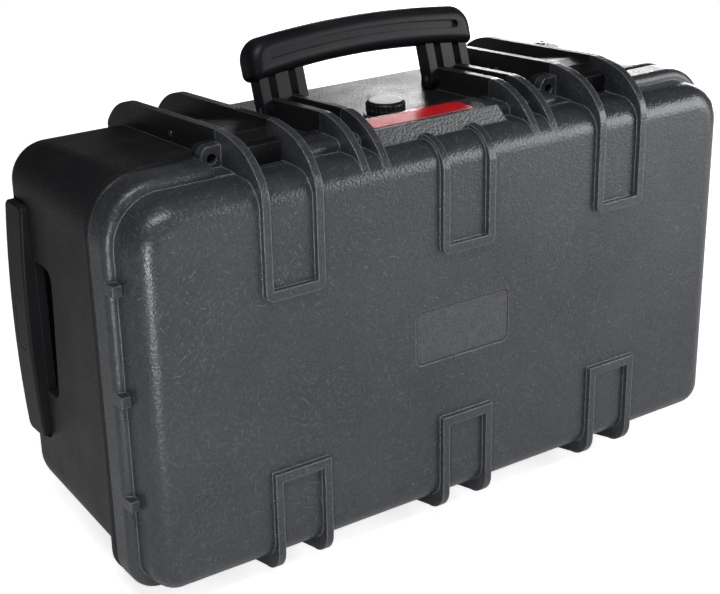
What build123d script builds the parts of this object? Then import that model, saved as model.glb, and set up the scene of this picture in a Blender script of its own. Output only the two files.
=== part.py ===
from build123d import *
import os

os.makedirs("parts", exist_ok=True)

# Case body, in millimetres. X runs along the long side, Y from the lid to the base, Z up.
rim_width = 554.6
rim_height = 308.6
rim_top_corner = 42.0
rim_low_corner = 25.0
foot_height = 10.7
lid_depth = 56.0
base_depth = 165.4
seam_gap = 0.6
lid_wall = 5.0
base_wall = 4.5

# Lid outline, as insets from the rim
lid_face_inset = 10.1
lid_top_inset = 8.8
lid_seam_inset = 4.4
lid_seam_top_inset = 8.0
lid_edge_round = 18.0
lid_face_corner = 19.5
bead_width = 25.0
bead_round = 6.0
bead_back_round = 3.7
rib_height = 4.5

# Base outline, as insets from the rim
base_side_inset = 5.2
base_top_inset = 3.8
back_side_inset = 7.8
back_top_inset = 12.3
base_corner = 32.0
back_grip_corner = 28.0
back_edge_round = 25.0
flare_flat = 6.0
flare_length = 18.0
flange_round = 3.5
opening_inset = 14.8
opening_top_inset = 12.8
cavity_corner = 21.5

# Gasket between the two halves
gasket_inset = 11.5
gasket_top_inset = 9.5
gasket_width = 2.0
gasket_thickness = 3.3
gasket_clearance = 0.3

# Moulded ribs and fins
fin_thickness = 6.0
rib_gap = 36.6
rib_bar = 7.3
rib_corner = 6.0
rib_drop = 83.5
latch_offset = 152.0
latch_fin_rise = 17.7
latch_fin_fall = 8.0
fin_nose_round = 60.0
fin_nose_start = 41.0
fin_toe_reach = 7.5
fin_toe_height = 292.0
fin_toe_round = 6.0
handle_fin_rise = 15.2
handle_fin_spacing = 18.0
handle_fin_offset = 78.0
centre_rib_rise = 3.5

# Hinge along the bottom
hinge_offset = 151.4
hinge_rib_gap = 36.0
hinge_plate = 6.0
hinge_rib_corner = 7.0
hinge_base_plate = 6.5
hinge_side_clearance = 0.4
hinge_rib_top = 93.0
knuckle_radius = 5.5
knuckle_clearance = 0.6
hinge_pin_radius = 2.0
pin_running_clearance = 0.05
pin_press_clearance = 0.02
stand_rib_length = 132.0
stand_rib_round = 33.0
hinge_nose_height = 9.0
hinge_nose_round = 19.0

# Padlock hasps
hasp_width = 15.5
hasp_thickness = 7.0
hasp_height = 10.7
hasp_hole_radius = 3.75
hasp_hole_side = 7.5
hasp_hole_drop = 0.6
hasp_notch_rise = 1.5

# Latches
latch_side_clearance = 0.4
latch_pivot_back = 66.7
latch_pivot_drop = 0.8
latch_front_reach = 18.0
latch_front_wall = 4.0
latch_plate = 3.5
latch_cheek = 3.0
latch_pin_radius = 2.5
latch_link_back = 17.0
latch_link_drop = 7.5
latch_top_rise = 13.7
latch_low_rise = 2.7
claw_low_rise = 2.3
claw_side_clearance = 0.5

# Carry handle
handle_pivot_back = 69.4
handle_pivot_rise = 2.2
handle_lean = 17.6
handle_pin_radius = 2.5
prong_clearance = 0.3
prong_inner_width = 7.7
prong_outer_width = 7.7
prong_depth = 14.0
grip_bottom_rise = 21.2
grip_arch = 6.7
grip_under_arch = 8.3
grip_height = 31.4
grip_depth = 26.0
grip_half_width = 104.1
grip_top_round = 18.0
grip_low_round = 5.0
grip_round = 9.0
groove_height = 6.2
groove_depth = 3.6
groove_reach = 86.0
groove_drop = 5.4
handle_core_height = 12.0

# Purge valve
valve_x = -14.0
valve_back = 25.4
valve_boss_radius = 17.0
valve_boss_rise = 1.3
valve_hole_radius = 8.0
valve_flange_radius = 14.5
valve_flange_thickness = 1.7
valve_stem_radius = 4.0
valve_knob_radius = 15.2
valve_knob_height = 8.0
valve_knob_round = 3.0
valve_knob_gap = 0.3

# Nameplate block on the lid's rim
block_left = -66.0
block_right = 50.0
block_rise = 3.2
block_depth = 29.0
block_bevel = 6.0
block_end_bevel = 8.0
plate_width = 91.0
plate_depth = 21.5
plate_thickness = 1.5
plate_recess = 1.2
plate_margin = 6.0
plate_front_margin = 4.0

# Label recess and rim tabs
label_width = 89.0
label_height = 43.6
label_x = -2.0
label_z = 163.0
label_depth = 1.0
label_corner = 6.0
tab_spacing = 81.0
tab_shift = 4.6
tab_height = 8.0
tab_length = 8.0
tab_root = 7.0
side_hole_radius = 2.5
side_hole_back = 20.0
side_hole_rise = 22.0
side_hole_depth = 3.0

# Trolley
trolley_z = 173.0
tube_spacing = 152.0
tube_height = 24.0
tube_depth = 17.0
tube_wall = 1.2
tube_corner = 4.0
tube_back = 26.0
tube_clearance = 0.4
channel_depth = 38.0
channel_skin = 6.5
channel_margin = 4.0
channel_end_x = 176.0
tube_end_block = 24.0
cover_plate = 3.5
cover_ledge = 9.0
recess_depth = 36.3
recess_reach = 80.0
recess_height = 108.0
recess_slant = 9.0
recess_round = 10.0
seat_depth = 8.0
seat_margin = 2.0
grip_bar_length = 190.0
grip_bar_depth = 30.0
grip_bar_back = 16.0
grip_bar_reach = 279.6
grip_bar_bow = 4.0
grip_bar_corner = 6.0
grip_bar_round = 2.0
grip_bar_clearance = 0.6
grip_split_x = 269.0
button_length = 44.0
button_width = 14.0
button_travel = 4.0
button_clearance = 0.3
button_depth = 6.0
yoke_thickness = 2.4
yoke_clearance = 1.0
rod_radius = 2.0
grip_screw_inset = 24.0
grip_screw_shift = 11.0
guide_setback = 14.0
guide_thickness = 8.0
collar_length = 4.0
collar_clearance = 0.3
socket_gap = 0.7
socket_wall = 2.0
socket_grip = 3.4

# Wheels
wheel_radius = 35.0
wheel_width = 22.0
wheel_reach = 7.5
wheel_end_reach = -3.3
wheel_side_gap = 3.0
wheel_well_gap = 3.0
wheel_well_wall = 10.0
housing_wall = 6.0
corner_wall = 4.0
axle_radius = 4.0
axle_boss_radius = 15.0
axle_boss_rise = 1.5
bolt_head_radius = 6.0
bolt_head_height = 4.5
bearing_radius = 11.0
bearing_width = 7.0
tyre_thickness = 7.0

# Interior padding
liner_gap = 1.5
liner_rest_gap = 0.3
liner_floor = 10.0
liner_side = 12.0
liner_front_gap = 6.0
divider_thickness = 10.0
divider_step = 112.0
lid_foam_thickness = 42.0
foam_gap = 0.5

# Screws
screw_radius = 2.0
screw_head_radius = 3.8
screw_head_height = 1.6
screw_length = 9.0

# Places that follow from the sizes
overall_depth = rib_height + lid_depth + seam_gap + base_depth + wheel_reach
face_y = rib_height - overall_depth / 2
seam_y = face_y + lid_depth
base_y = seam_y + seam_gap
back_y = base_y + base_depth
hinge_y = seam_y + seam_gap / 2
hinge_z = knuckle_radius
mid_z = foot_height + rim_height / 2
rim_top = foot_height + rim_height
half_width = rim_width / 2
lid_top = rim_top - lid_top_inset
fin_offset = rib_gap / 2 + fin_thickness / 2
rib_half_span = rib_gap / 2 + fin_thickness
bead_y = seam_y - bead_width


def rim_outline(place, side, top, least_corner=0.0, grip_end_corner=0.0):
    """The case's outline at one depth, drawn in from the rim by a side and a top inset."""
    top_corner = max(rim_top_corner - side, least_corner)
    with BuildSketch(Plane.XZ.offset(-place)) as outline:
        with Locations((0, mid_z)):
            Rectangle(rim_width - 2 * side, rim_height - 2 * top)
        fillet(outline.vertices().group_by(Axis.Y)[-1].sort_by(Axis.X)[0], grip_end_corner or top_corner)
        fillet(outline.vertices().group_by(Axis.Y)[-1].sort_by(Axis.X)[-1], top_corner)
        fillet(outline.vertices().group_by(Axis.Y)[0], max(rim_low_corner - side, least_corner))
    return outline.sketch


def rounded_block(front_y, back_y, front_insets, back_insets):
    """A block between two outlines, each given as its insets from the rim."""
    with BuildPart() as block:
        add(rim_outline(front_y, *front_insets))
        add(rim_outline(back_y, *back_insets))
        loft(ruled=True)
    return block.part


def box_between(low_x, high_x, low_y, high_y, low_z, high_z):
    """A plain box from its lowest corner to its highest."""
    with BuildPart() as box:
        with BuildSketch(Plane.XY.offset(low_z)):
            with Locations(((low_x + high_x) / 2, (low_y + high_y) / 2)):
                Rectangle(high_x - low_x, high_y - low_y)
        extrude(amount=high_z - low_z)
    return box.part


def rod_along_x(low_x, high_x, y, z, radius):
    """A round rod along X."""
    with BuildPart() as rod:
        with BuildSketch(Plane.YZ.offset(low_x)):
            with Locations((y, z)):
                Circle(radius)
        extrude(amount=high_x - low_x)
    return rod.part


def rod_along_z(x, y, low_z, high_z, radius):
    """A round rod along Z."""
    with BuildPart() as rod:
        with BuildSketch(Plane.XY.offset(low_z)):
            with Locations((x, y)):
                Circle(radius)
        extrude(amount=high_z - low_z)
    return rod.part


def rod_along_y(x, z, low_y, high_y, radius):
    """A round rod along Y."""
    with BuildPart() as rod:
        with BuildSketch(Plane.XZ.offset(-low_y)):
            with Locations((x, z)):
                Circle(radius)
        extrude(amount=low_y - high_y)
    return rod.part


# Fin tops at the seam, and the base's top line, which falls towards the back
latch_fin_top = rim_top + latch_fin_rise
handle_fin_top = rim_top + handle_fin_rise
base_slope = (back_top_inset - base_top_inset) / base_depth


def base_top_at(y):
    """Height of the base's top wall at a given depth."""
    return rim_top - base_top_inset - base_slope * (y - base_y)


# Lid ribs and fins
rib_low_z = lid_top - rib_drop
rib_foot_z = rib_low_z + rib_corner
kink_y = seam_y - 5.0
edge_start_z = lid_top - 25.0


def lid_fin(x, top, bottom_z, thickness):
    """A lid fin that falls from the seam in a long curve and runs down the face."""
    shoulder_y = face_y + 0.27 * lid_depth
    brow_y = face_y - 0.03 * lid_depth
    shoulder_z = top - 0.19 * (top - edge_start_z)
    brow_z = top - 0.54 * (top - edge_start_z)
    with BuildPart() as fin:
        with BuildSketch(Plane.YZ.offset(x)):
            with BuildLine():
                Polyline((kink_y, top), (seam_y, top), (seam_y, lid_top - lid_edge_round))
                curve = Spline(
                    (kink_y, top),
                    (shoulder_y, shoulder_z),
                    (brow_y, brow_z),
                    (face_y - rib_height, edge_start_z),
                    tangents=((-1, -0.12), (0, -1)),
                )
                Polyline(
                    curve @ 1,
                    (face_y - rib_height, bottom_z),
                    (face_y + lid_edge_round, bottom_z),
                    (seam_y, lid_top - lid_edge_round),
                )
            make_face()
        extrude(amount=thickness / 2, both=True)
    return fin.part


def centre_rib(x):
    """A low rib that starts at the nameplate block and follows the lid's edge down the face."""
    rib_top = lid_top + centre_rib_rise
    turn_y = face_y + lid_edge_round
    with BuildPart() as rib:
        with BuildSketch(Plane.YZ.offset(x)):
            with BuildLine():
                Line((seam_y - block_depth + block_bevel, rib_top), (turn_y, rib_top))
                ThreePointArc(
                    (turn_y, rib_top),
                    (face_y + 0.2 * lid_edge_round, lid_top - 0.17 * lid_edge_round),
                    (face_y - rib_height, lid_top - lid_edge_round),
                )
                Polyline(
                    (face_y - rib_height, lid_top - lid_edge_round),
                    (face_y - rib_height, rib_foot_z),
                    (face_y + lid_edge_round, rib_foot_z),
                    (seam_y - block_depth + block_bevel, rib_top),
                )
            make_face()
        extrude(amount=fin_thickness / 2, both=True)
    return rib.part


def rib_bar_across(centre_x, low_z, high_z, half_span, round_top, corner):
    """The short bar that closes a U of ribs, with its two free corners rounded."""
    with BuildPart() as bar:
        with BuildSketch(Plane.XZ.offset(rib_height - face_y)):
            with Locations((centre_x, (low_z + high_z) / 2)):
                Rectangle(2 * half_span, high_z - low_z)
        extrude(amount=-(rib_height + 2.0))
        end_edges = bar.edges().filter_by(Axis.Y).group_by(Axis.Z)[-1 if round_top else 0]
        fillet(end_edges, corner)
    return bar.part


def handle_fin_front(x):
    """The front of a carry-handle fin, which dives into the lid's edge."""
    with BuildPart() as fin:
        with BuildSketch(Plane.YZ.offset(x)):
            with BuildLine():
                Line((seam_y, handle_fin_top), (kink_y, handle_fin_top))
                ThreePointArc(
                    (kink_y, handle_fin_top),
                    (face_y + 0.36 * lid_depth, lid_top + 0.52 * (handle_fin_top - lid_top)),
                    (face_y + 2.0, lid_top - 0.5 * lid_edge_round),
                )
                Polyline(
                    (face_y + 2.0, lid_top - 0.5 * lid_edge_round),
                    (face_y + lid_edge_round, lid_top - lid_edge_round),
                    (seam_y, lid_top - lid_edge_round),
                    (seam_y, handle_fin_top),
                )
            make_face()
        extrude(amount=fin_thickness / 2, both=True)
    return fin.part


def lid_hinge_plate(x):
    """A hinge plate that stands on the lid's face, turns under its edge and ends in a knuckle."""
    shin_y = face_y - rib_height
    nose_y = shin_y + hinge_nose_round
    shin_z = hinge_nose_height + hinge_nose_round
    turn = 0.2929 * hinge_nose_round
    with BuildPart() as plate:
        with BuildSketch(Plane.YZ.offset(x)):
            with BuildLine():
                Line((shin_y, hinge_rib_top), (shin_y, shin_z))
                ThreePointArc(
                    (shin_y, shin_z),
                    (shin_y + turn, hinge_nose_height + turn),
                    (nose_y, hinge_nose_height),
                )
                Polyline(
                    (nose_y, hinge_nose_height),
                    (seam_y, 0.3),
                    (seam_y, foot_height + lid_edge_round),
                    (face_y + lid_edge_round, foot_height + lid_edge_round),
                    (face_y + lid_edge_round, hinge_rib_top),
                    (shin_y, hinge_rib_top),
                )
            make_face()
        extrude(amount=hinge_plate / 2, both=True)
    return plate.part


def latch_fin_back(x):
    """The long part of a latch fin on the base, from the seam round the back edge to its toe."""
    nose_y = back_y - fin_nose_start
    nose_top = latch_fin_top - latch_fin_fall
    toe_y = back_y + fin_toe_reach
    low_z = base_top_at(back_y) - back_edge_round
    centre_z = nose_top - fin_nose_round
    toe_top = centre_z + (fin_nose_round**2 - (toe_y - nose_y) ** 2) ** 0.5
    arc_mid_y = (nose_y + toe_y) / 2
    arc_mid_z = centre_z + (fin_nose_round**2 - (arc_mid_y - nose_y) ** 2) ** 0.5
    with BuildPart() as fin:
        with BuildSketch(Plane.YZ.offset(x)):
            with BuildLine():
                Line((base_y, latch_fin_top), (nose_y, nose_top))
                ThreePointArc((nose_y, nose_top), (arc_mid_y, arc_mid_z), (toe_y, toe_top))
                Polyline(
                    (toe_y, toe_top),
                    (toe_y, fin_toe_height),
                    (back_y - 1.0, low_z),
                    (base_y, low_z),
                    (base_y, latch_fin_top),
                )
            make_face()
        extrude(amount=fin_thickness / 2, both=True)
        fillet(fin.edges().filter_by(Axis.X).group_by(Axis.Y)[-1], fin_toe_round)
    return fin.part


handle_pivot_y = base_y + handle_pivot_back
handle_pivot_z = rim_top + handle_pivot_rise


def handle_fin_back(x):
    """A carry-handle fin on the base, which holds one pivot pin."""
    end_round = 0.8 * handle_fin_rise
    end_y = handle_pivot_y + 0.5 * end_round
    top_z = handle_fin_top - 5.0
    low_z = base_top_at(back_y)
    with BuildPart() as fin:
        with BuildSketch(Plane.YZ.offset(x)):
            with BuildLine():
                Polyline((base_y, low_z), (base_y, handle_fin_top), (end_y, top_z))
                ThreePointArc(
                    (end_y, top_z),
                    (end_y + 0.7071 * end_round, top_z - 0.2929 * end_round),
                    (end_y + end_round, top_z - end_round),
                )
                Polyline(
                    (end_y + end_round, top_z - end_round),
                    (end_y + end_round, low_z),
                    (base_y, low_z),
                )
            make_face()
        extrude(amount=fin_thickness / 2, both=True)
    return fin.part


def base_hinge_plate(x):
    """A base hinge plate, which runs back from its knuckle as a rib that the case stands on."""
    end_y = hinge_y + stand_rib_length
    with BuildPart() as plate:
        with BuildSketch(Plane.YZ.offset(x)):
            with BuildLine():
                Polyline((base_y, 2 * hinge_z), (base_y, 0), (end_y, 0))
                ThreePointArc(
                    (end_y, 0),
                    (end_y + 0.7071 * stand_rib_round, 0.2929 * stand_rib_round),
                    (end_y + stand_rib_round, stand_rib_round),
                )
                Polyline(
                    (end_y + stand_rib_round, stand_rib_round),
                    (base_y + flare_length, stand_rib_round),
                    (base_y + flare_length, 2 * hinge_z),
                    (base_y, 2 * hinge_z),
                )
            make_face()
        extrude(amount=hinge_base_plate / 2, both=True)
    return plate.part


def hasp_plate(fin_face_x, front_y):
    """A padlock plate beside a latch fin, before its hole is made."""
    hasp_top = rim_top + hasp_height
    with BuildPart() as plate:
        with BuildSketch(Plane.XZ.offset(-front_y)):
            with Locations((fin_face_x - hasp_width / 2, hasp_top / 2 + lid_top / 2 - lid_wall)):
                Rectangle(hasp_width, hasp_top - lid_top + 2 * lid_wall - 4.0)
        extrude(amount=-hasp_thickness)
        fillet(plate.edges().filter_by(Axis.Y).group_by(Axis.Z)[-1].sort_by(Axis.X)[0], 7.0)
    return plate.part


latch_centres = (-latch_offset, latch_offset)
hinge_centres = (-hinge_offset, 0.0, hinge_offset)
handle_fins = []
for side in (-1, 1):
    for step in (-0.5, 0.5):
        handle_fins.append(side * handle_fin_offset + step * handle_fin_spacing)
hasp_faces = [centre - fin_offset - fin_thickness / 2 for centre in latch_centres]
hasp_hole_z = rim_top - hasp_hole_drop
lid_hinge_offset = hinge_rib_gap / 2 + hinge_plate / 2
base_hinge_offset = hinge_rib_gap / 2 - hinge_side_clearance - hinge_base_plate / 2
notch_floor = lid_top + 0.5

gasket_groove = gasket_thickness - gasket_clearance


def gasket_loop(low_y, high_y):
    """A closed band that follows the rim, as wide as the gasket."""
    with BuildPart() as loop:
        inner_insets = (gasket_inset + gasket_width, gasket_top_inset + gasket_width)
        extrude(rim_outline(low_y, gasket_inset, gasket_top_inset), amount=low_y - high_y)
        extrude(rim_outline(low_y, *inner_insets), amount=low_y - high_y, mode=Mode.SUBTRACT)
    return loop.part


# Lid shell
block_front_y = seam_y - block_depth
plate_left = block_left + plate_margin
plate_front_y = block_front_y + plate_front_margin
block_top = rim_top + block_rise
with BuildPart() as lid_shell:
    lid_face_insets = (lid_face_inset, lid_top_inset, lid_face_corner)
    add(rounded_block(face_y, seam_y, lid_face_insets, (lid_seam_inset, lid_seam_top_inset)))
    fillet(lid_shell.edges().group_by(Axis.Y)[0], lid_edge_round)
    with BuildPart(mode=Mode.PRIVATE) as bead:
        extrude(rim_outline(bead_y, 0.0, 0.0), amount=-bead_width)
        fillet(bead.edges().group_by(Axis.Y)[0], bead_round)
        fillet(bead.edges().group_by(Axis.Y)[-1], bead_back_round)
    add(bead.part)
    for centre in latch_centres:
        add(
            box_between(
                centre - rib_gap / 2,
                centre + rib_gap / 2,
                bead_y - 1.0,
                seam_y + 1.0,
                notch_floor,
                rim_top + 1.0,
            ),
            mode=Mode.SUBTRACT,
        )
        for side in (-1, 1):
            add(lid_fin(centre + side * fin_offset, latch_fin_top, rib_foot_z, fin_thickness))
        add(rib_bar_across(centre, rib_low_z, rib_low_z + rib_bar, rib_half_span, False, rib_corner))
    with BuildPart(mode=Mode.PRIVATE) as plate_block:
        with BuildSketch(Plane.YZ.offset(block_left)):
            with BuildLine():
                Polyline(
                    (seam_y, lid_top - lid_wall),
                    (block_front_y - block_bevel, lid_top - lid_wall),
                    (block_front_y - block_bevel, lid_top - 1.0),
                    (block_front_y, block_top),
                    (seam_y, block_top),
                    close=True,
                )
            make_face()
        extrude(amount=block_right + block_end_bevel - block_left)
        with BuildSketch(Plane.XZ.offset(-seam_y)):
            with BuildLine():
                Polyline(
                    (block_left, lid_top - lid_wall),
                    (block_left, block_top),
                    (block_right, block_top),
                    (block_right + block_end_bevel, lid_top - lid_wall),
                    close=True,
                )
            make_face()
        extrude(amount=block_depth + block_bevel, mode=Mode.INTERSECT)
    add(plate_block.part)
    for side in (-1, 1):
        add(centre_rib(side * fin_offset))
    add(rib_bar_across(0.0, rib_low_z, rib_low_z + rib_bar, rib_half_span, False, rib_corner))
    for x in handle_fins:
        add(handle_fin_front(x))
    for face_x in hasp_faces:
        add(
            box_between(
                face_x - hasp_width,
                face_x,
                bead_y - 1.0,
                seam_y - hasp_thickness,
                lid_top + hasp_notch_rise,
                rim_top + 1.0,
            ),
            mode=Mode.SUBTRACT,
        )
        add(hasp_plate(face_x, seam_y - hasp_thickness))
    for centre in hinge_centres:
        for side in (-1, 1):
            add(lid_hinge_plate(centre + side * lid_hinge_offset))
        half_span = lid_hinge_offset + hinge_plate / 2
        low_z = hinge_rib_top - rib_bar
        add(rib_bar_across(centre, low_z, hinge_rib_top, half_span, True, hinge_rib_corner))
        for side in (-1, 1):
            x = centre + side * lid_hinge_offset
            add(rod_along_x(x - hinge_plate / 2, x + hinge_plate / 2, hinge_y, hinge_z, hinge_z - 0.3))
    for side in (-1, 1):
        for step in (-1, 0, 1):
            low_z = mid_z + tab_shift + step * tab_spacing - tab_height / 2
            ends = sorted((side * (half_width - tab_root), side * half_width))
            tab_front_y = bead_y - tab_length
            add(
                box_between(
                    ends[0], ends[1], tab_front_y, bead_y + bead_round, low_z, low_z + tab_height
                ),
            )
    with BuildPart(mode=Mode.PRIVATE) as lid_cavity:
        cavity_front = (lid_face_inset + lid_wall, lid_top_inset + lid_wall, lid_face_corner - lid_wall)
        cavity_back = (opening_inset, opening_top_inset)
        add(rounded_block(face_y + lid_wall, seam_y + 1.0, cavity_front, cavity_back))
        fillet(lid_cavity.edges().group_by(Axis.Y)[0], lid_edge_round - lid_wall)
    add(lid_cavity.part, mode=Mode.SUBTRACT)
    add(gasket_loop(seam_y - gasket_groove, seam_y + 1.0), mode=Mode.SUBTRACT)
    with BuildSketch(Plane.XZ.offset(-face_y)):
        with Locations((label_x, label_z)):
            RectangleRounded(label_width, label_height, label_corner)
    extrude(amount=-label_depth, mode=Mode.SUBTRACT)
    add(
        box_between(
            plate_left,
            plate_left + plate_width,
            plate_front_y,
            plate_front_y + plate_depth,
            block_top - plate_recess,
            block_top + 1.0,
        ),
        mode=Mode.SUBTRACT,
    )
    for face_x in hasp_faces:
        add(
            rod_along_y(face_x - hasp_hole_side, hasp_hole_z, bead_y, seam_y + 1.0, hasp_hole_radius),
            mode=Mode.SUBTRACT,
        )
    for centre in hinge_centres:
        reach = lid_hinge_offset + hinge_plate / 2 + 1.0
        add(
            rod_along_x(
                centre - reach,
                centre + reach,
                hinge_y,
                hinge_z,
                hinge_pin_radius + pin_running_clearance,
            ),
            mode=Mode.SUBTRACT,
        )
        for side in (-1, 1):
            x = centre + side * base_hinge_offset
            half = hinge_base_plate / 2 + hinge_side_clearance
            add(
                rod_along_x(x - half, x + half, hinge_y, hinge_z, knuckle_radius + knuckle_clearance),
                mode=Mode.SUBTRACT,
            )
lid_shell.part.label = "lid_shell"
export_step(lid_shell.part, "parts/lid_shell.step")

with BuildPart() as lid_gasket:
    add(gasket_loop(seam_y - gasket_groove, seam_y + gasket_clearance))
lid_gasket.part.label = "lid_gasket"
export_step(lid_gasket.part, "parts/lid_gasket.step")

with BuildPart() as nameplate:
    add(
        box_between(
            plate_left,
            plate_left + plate_width,
            plate_front_y,
            plate_front_y + plate_depth,
            block_top - plate_recess,
            block_top - plate_recess + plate_thickness,
        )
    )
    fillet(nameplate.edges().filter_by(Axis.Z), 1.5)
nameplate.part.label = "nameplate"
export_step(nameplate.part, "parts/nameplate.step")

with BuildPart() as lid_foam:
    foam_low_y = face_y + lid_wall + foam_gap
    foam_margin = lid_wall + foam_gap
    foam_corner = lid_edge_round - lid_wall + foam_gap
    foam_insets = (lid_face_inset + foam_margin, lid_top_inset + foam_margin, foam_corner)
    extrude(rim_outline(foam_low_y, *foam_insets), amount=-lid_foam_thickness)
    fillet(lid_foam.edges().group_by(Axis.Y)[0], lid_edge_round - lid_wall)
lid_foam.part.label = "lid_foam"
export_step(lid_foam.part, "parts/lid_foam.step")

# Base outer form, before it is hollowed
with BuildPart() as base_outer:
    base_insets = (base_side_inset, base_top_inset, base_corner)
    back_insets = (back_side_inset, back_top_inset, base_corner, back_grip_corner)
    add(rounded_block(base_y, back_y, base_insets, back_insets))
    fillet(base_outer.edges().group_by(Axis.Y)[-1], back_edge_round)
    with BuildPart(mode=Mode.PRIVATE) as flange:
        extrude(rim_outline(base_y, 0.0, 0.0), amount=-flare_flat)
        fillet(flange.edges().group_by(Axis.Y)[0], flange_round)
    add(flange.part)
    flare_side = base_side_inset + (back_side_inset - base_side_inset) * flare_length / base_depth
    flare_top = base_top_inset + base_slope * flare_length
    add(
        rounded_block(
            base_y + flare_flat, base_y + flare_length, (0, 0), (flare_side, flare_top, base_corner)
        ),
    )

# Places of the trolley and the wheels
channel_y = back_y - channel_depth
channel_low_z = trolley_z - tube_spacing / 2 - tube_height / 2 - channel_margin
channel_high_z = trolley_z + tube_spacing / 2 + tube_height / 2 + channel_margin
tube_y = back_y - tube_back
recess_x = -(half_width - recess_depth)
recess_y = back_y - recess_reach
recess_low_z = trolley_z - recess_height / 2
recess_high_z = trolley_z + recess_height / 2
bar_low_z = trolley_z - grip_bar_length / 2
bar_high_z = trolley_z + grip_bar_length / 2
bar_back_y = back_y - grip_bar_back
bar_front_y = bar_back_y - grip_bar_depth
seat_x = -(half_width - back_side_inset - seat_depth)
tunnel_front_y = channel_y - corner_wall
axle_x = half_width + wheel_end_reach - wheel_radius
axle_y = back_y + wheel_reach - wheel_radius
corner_x = axle_x - wheel_radius - wheel_well_gap - housing_wall
corner_y = axle_y - wheel_radius - wheel_well_gap - housing_wall
corner_depth_z = wheel_width + 2 * wheel_side_gap + 2 * wheel_well_wall + 4.0
corner_low_z = mid_z + rim_height / 2 - back_top_inset - corner_depth_z
corner_rise = corner_low_z - mid_z
wheel_mid_rise = corner_rise + wheel_well_wall + wheel_side_gap + wheel_width / 2


def corner_box(side, growth):
    """The box of a wheel corner, grown on its inner faces: side 1 is the upper one."""
    low = corner_rise - growth
    high = rim_height / 2
    ends = sorted((mid_z + side * low, mid_z + side * high))
    return box_between(
        corner_x - growth, half_width + 1.0, corner_y - growth, back_y + 1.0, ends[0], ends[1]
    )


channel_start_x = recess_x + base_wall
guide_x = seat_x + guide_setback
tunnel_half = tube_height / 2 + channel_margin
tube_z_places = (trolley_z - tube_spacing / 2, trolley_z + tube_spacing / 2)
cover_low_x = recess_x + 10.0
channel_screws = []
for x in (recess_x + 60.0, (recess_x + channel_end_x) / 2, channel_end_x - 20.0):
    for z in (channel_low_z - cover_ledge / 2, channel_high_z + cover_ledge / 2):
        channel_screws.append((x, z))
screw_reach = 7.0
nut_radius = 7.5
nut_height = 6.0
housing_screw_places = []
for side in (-1, 1):
    for y in (corner_y + housing_wall, axle_y):
        housing_screw_places.append((y, mid_z + side * (corner_rise + wheel_well_wall / 2)))
valve_y = base_y + valve_back
valve_boss_top = base_top_at(valve_y) + valve_boss_rise
latch_pivot_y = base_y + latch_pivot_back
latch_pivot_z = rim_top - latch_pivot_drop

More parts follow.
